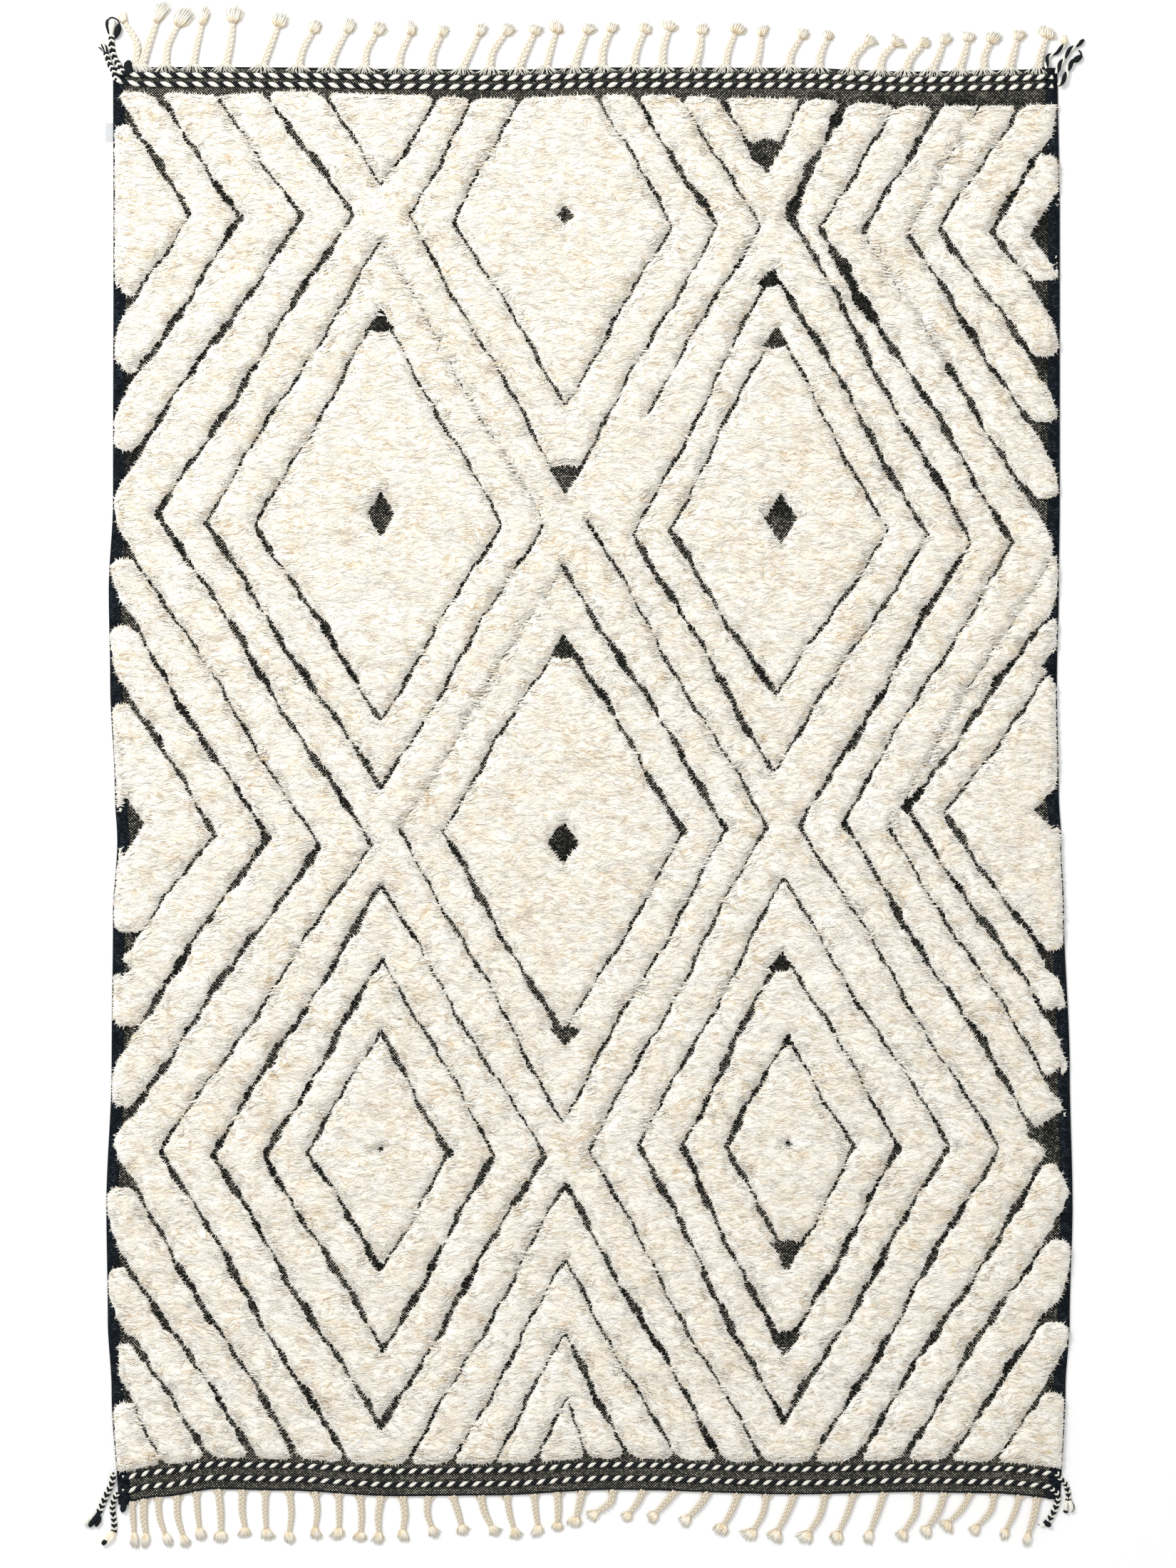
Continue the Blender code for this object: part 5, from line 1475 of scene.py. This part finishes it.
def chevrons(points, size, rolls):
    """A flat plait of black and white yarns that cross its middle in turn, so each shows as a V."""
    line = flowing(points, 0.002)
    run = run_along(line)
    lift = over_cloth(run)
    strands = [(np.column_stack((line, lift + 0.0026)), 0.0040 * size, BLACK)]
    for number, start in enumerate(np.arange(0.001, run[-1] - 0.003, CHEVRON_PITCH * size)):
        at = start + rolls.uniform(-0.0007, 0.0007)
        spot = spot_at(line, run, at)
        later = spot_at(line, run, at + 0.002)
        ahead = (later - spot) / np.linalg.norm(later - spot)
        wide = CHEVRON_SIDE * size * rolls.uniform(0.90, 1.12)
        reach = CHEVRON_REACH * size * (1 - np.abs(ARMS))
        places = spot + np.outer(reach, ahead) + np.outer(wide * ARMS, beside(ahead))
        z = CHEVRON_HALF * size * ARM_RISE + np.interp(at, run, lift)
        strands.append((np.column_stack((places, z)), CHEVRON_HALF * size * ARM_SWELL, number % 2))
    return strands


def twist(points, size):
    """A thick black yarn and a thinner white one turned round each other."""
    line = flowing(points, 0.003)
    side = beside(heading(line))
    run = run_along(line)
    strands = []
    for half, yarn in ((TWIST_WHITE, WHITE), (TWIST_BLACK, BLACK)):
        turn = run * math.tau / TWIST_PITCH + yarn * math.pi
        flat = line + side * (TWIST_SWING * size * np.sin(turn))[:, None]
        z = size * (half + TWIST_RISE * (1 + np.cos(turn))) + over_cloth(run)
        strands.append((np.column_stack((flat, z)), half * size * (0.85 + 0.15 * np.cos(turn)), yarn))
    return strands


def tip_lobes(kind, end, out):
    """The knot, loop or brush beyond the end of a plait, its lobes laid one over the other."""
    side = beside(out)
    strands = []
    for number, (yarn, half, swell, places) in enumerate(TIPS[kind]):
        places = np.array(places) * MM
        spots = end + np.outer(places[:, 0], out) + np.outer(places[:, 1], side)
        line = flowing(spots, 0.004)
        radius = half * MM * np.interp(np.linspace(0, 1, len(line)), np.linspace(0, 1, len(swell)), swell)
        z = radius * 0.8 + LOBE_STEP * number + MM
        strands.append((np.column_stack((line, z)), radius, yarn))
    return strands


def build_corner(corner):
    rolls = np.random.default_rng(len(corner.name))
    stub = flowing(corner.stub, 0.004)
    reach = np.linspace(0, 1, len(stub))
    half = corner.stub_half * np.interp(reach, *STUB_SWELL)
    strands = [(np.column_stack((stub, half * 0.7 + LAID_OVER * 0.6 * (1 - reach))), half, BLACK)]
    for braid in corner.braids:
        if braid.yarns == "chevron":
            strands += chevrons(braid.points, braid.size, rolls)
        else:
            strands += twist(braid.points, braid.size)
        end, before = np.array(braid.points[-1]), np.array(braid.points[-2])
        out = (end - before) / np.linalg.norm(end - before)
        if braid.tip == "tuft":
            strands += tuft(end, CORNER_TUFT_WAY, *CORNER_TUFT_SIZE, CREAM, rolls)
        else:
            strands += tip_lobes(braid.tip, end, out)
    return sweep(f"plaited_corner_{corner.name}", strands, 6)


for corner in CORNERS:
    mesh = build_corner(corner)
    for vert in mesh.vertices:
        vert.co.z = max(vert.co.z, 0.0)
    replaced = [f"corner_braids_{corner.name}"]
    add_piece(mesh.name, mesh, [white_twine, black_twine, tuft_wool], replaced)


# The label: a small blank tape of white cotton satin, tucked in behind the left selvedge. The solid's
# own shape stays, with a fine woven finish.
TAPE_RIB = 0.0006


def cotton_tape():
    finish = Finish("white label tape", 0.7)
    ribs = ((finish.axis(finish.places(), 1) * (math.tau / TAPE_RIB)).maths("SINE") + 1.0) * 0.5
    # The grey is painted shade of soft folds, mottled, with the tape's ribs lighter and darker in turn.
    painted_fold_shade = finish.noise(60.0) * 0.5 + ribs * 0.25
    finish.colour(finish.mix(painted_fold_shade, (0.50, 0.51, 0.53, 1.0), (0.80, 0.81, 0.82, 1.0)))
    finish.bump(ribs, 0.0001)
    return finish.material


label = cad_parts["label"]
label.data.materials.clear()
label.data.materials.append(cotton_tape())


# The floor and the light: a plain pale floor under an even studio sky, with one wide soft lamp high
# up beyond the rug's top left corner.
FLOOR_SIZE = 14.0
SKY_STRENGTH = 0.80
LAMP_SIZE = 3.0
LAMP_WATTS = 465.0
LAMP_PLACE = (-4.0, 4.6, 5.9)


def build_floor():
    bm = bmesh.new()
    bmesh.ops.create_grid(bm, x_segments=1, y_segments=1, size=FLOOR_SIZE / 2)
    mesh = mesh_from("floor", bm)
    finish = Finish("pale floor", 0.9)
    finish.colour(finish.mix(finish.noise(2.0), (0.93, 0.93, 0.93, 1.0), (0.94, 0.94, 0.94, 1.0)))
    mesh.materials.append(finish.material)
    return mesh


floor = bpy.data.objects.new("floor", build_floor())
bpy.context.scene.collection.objects.link(floor)

world = bpy.data.worlds.new("studio")
world.use_nodes = True
world.node_tree.nodes["Background"].inputs["Color"].default_value = (1.0, 1.0, 1.0, 1.0)
world.node_tree.nodes["Background"].inputs["Strength"].default_value = SKY_STRENGTH
bpy.context.scene.world = world

lamp = bpy.data.objects.new("soft_lamp", bpy.data.lights.new("soft_lamp", "AREA"))
lamp.data.shape = "DISK"
lamp.data.size = LAMP_SIZE
lamp.data.energy = LAMP_WATTS
lamp.location = LAMP_PLACE
lamp.rotation_euler = (Vector((0, 0, 0)) - lamp.location).to_track_quat("-Z", "Y").to_euler()
bpy.context.scene.collection.objects.link(lamp)

bpy.context.scene.view_settings.view_transform = "Standard"
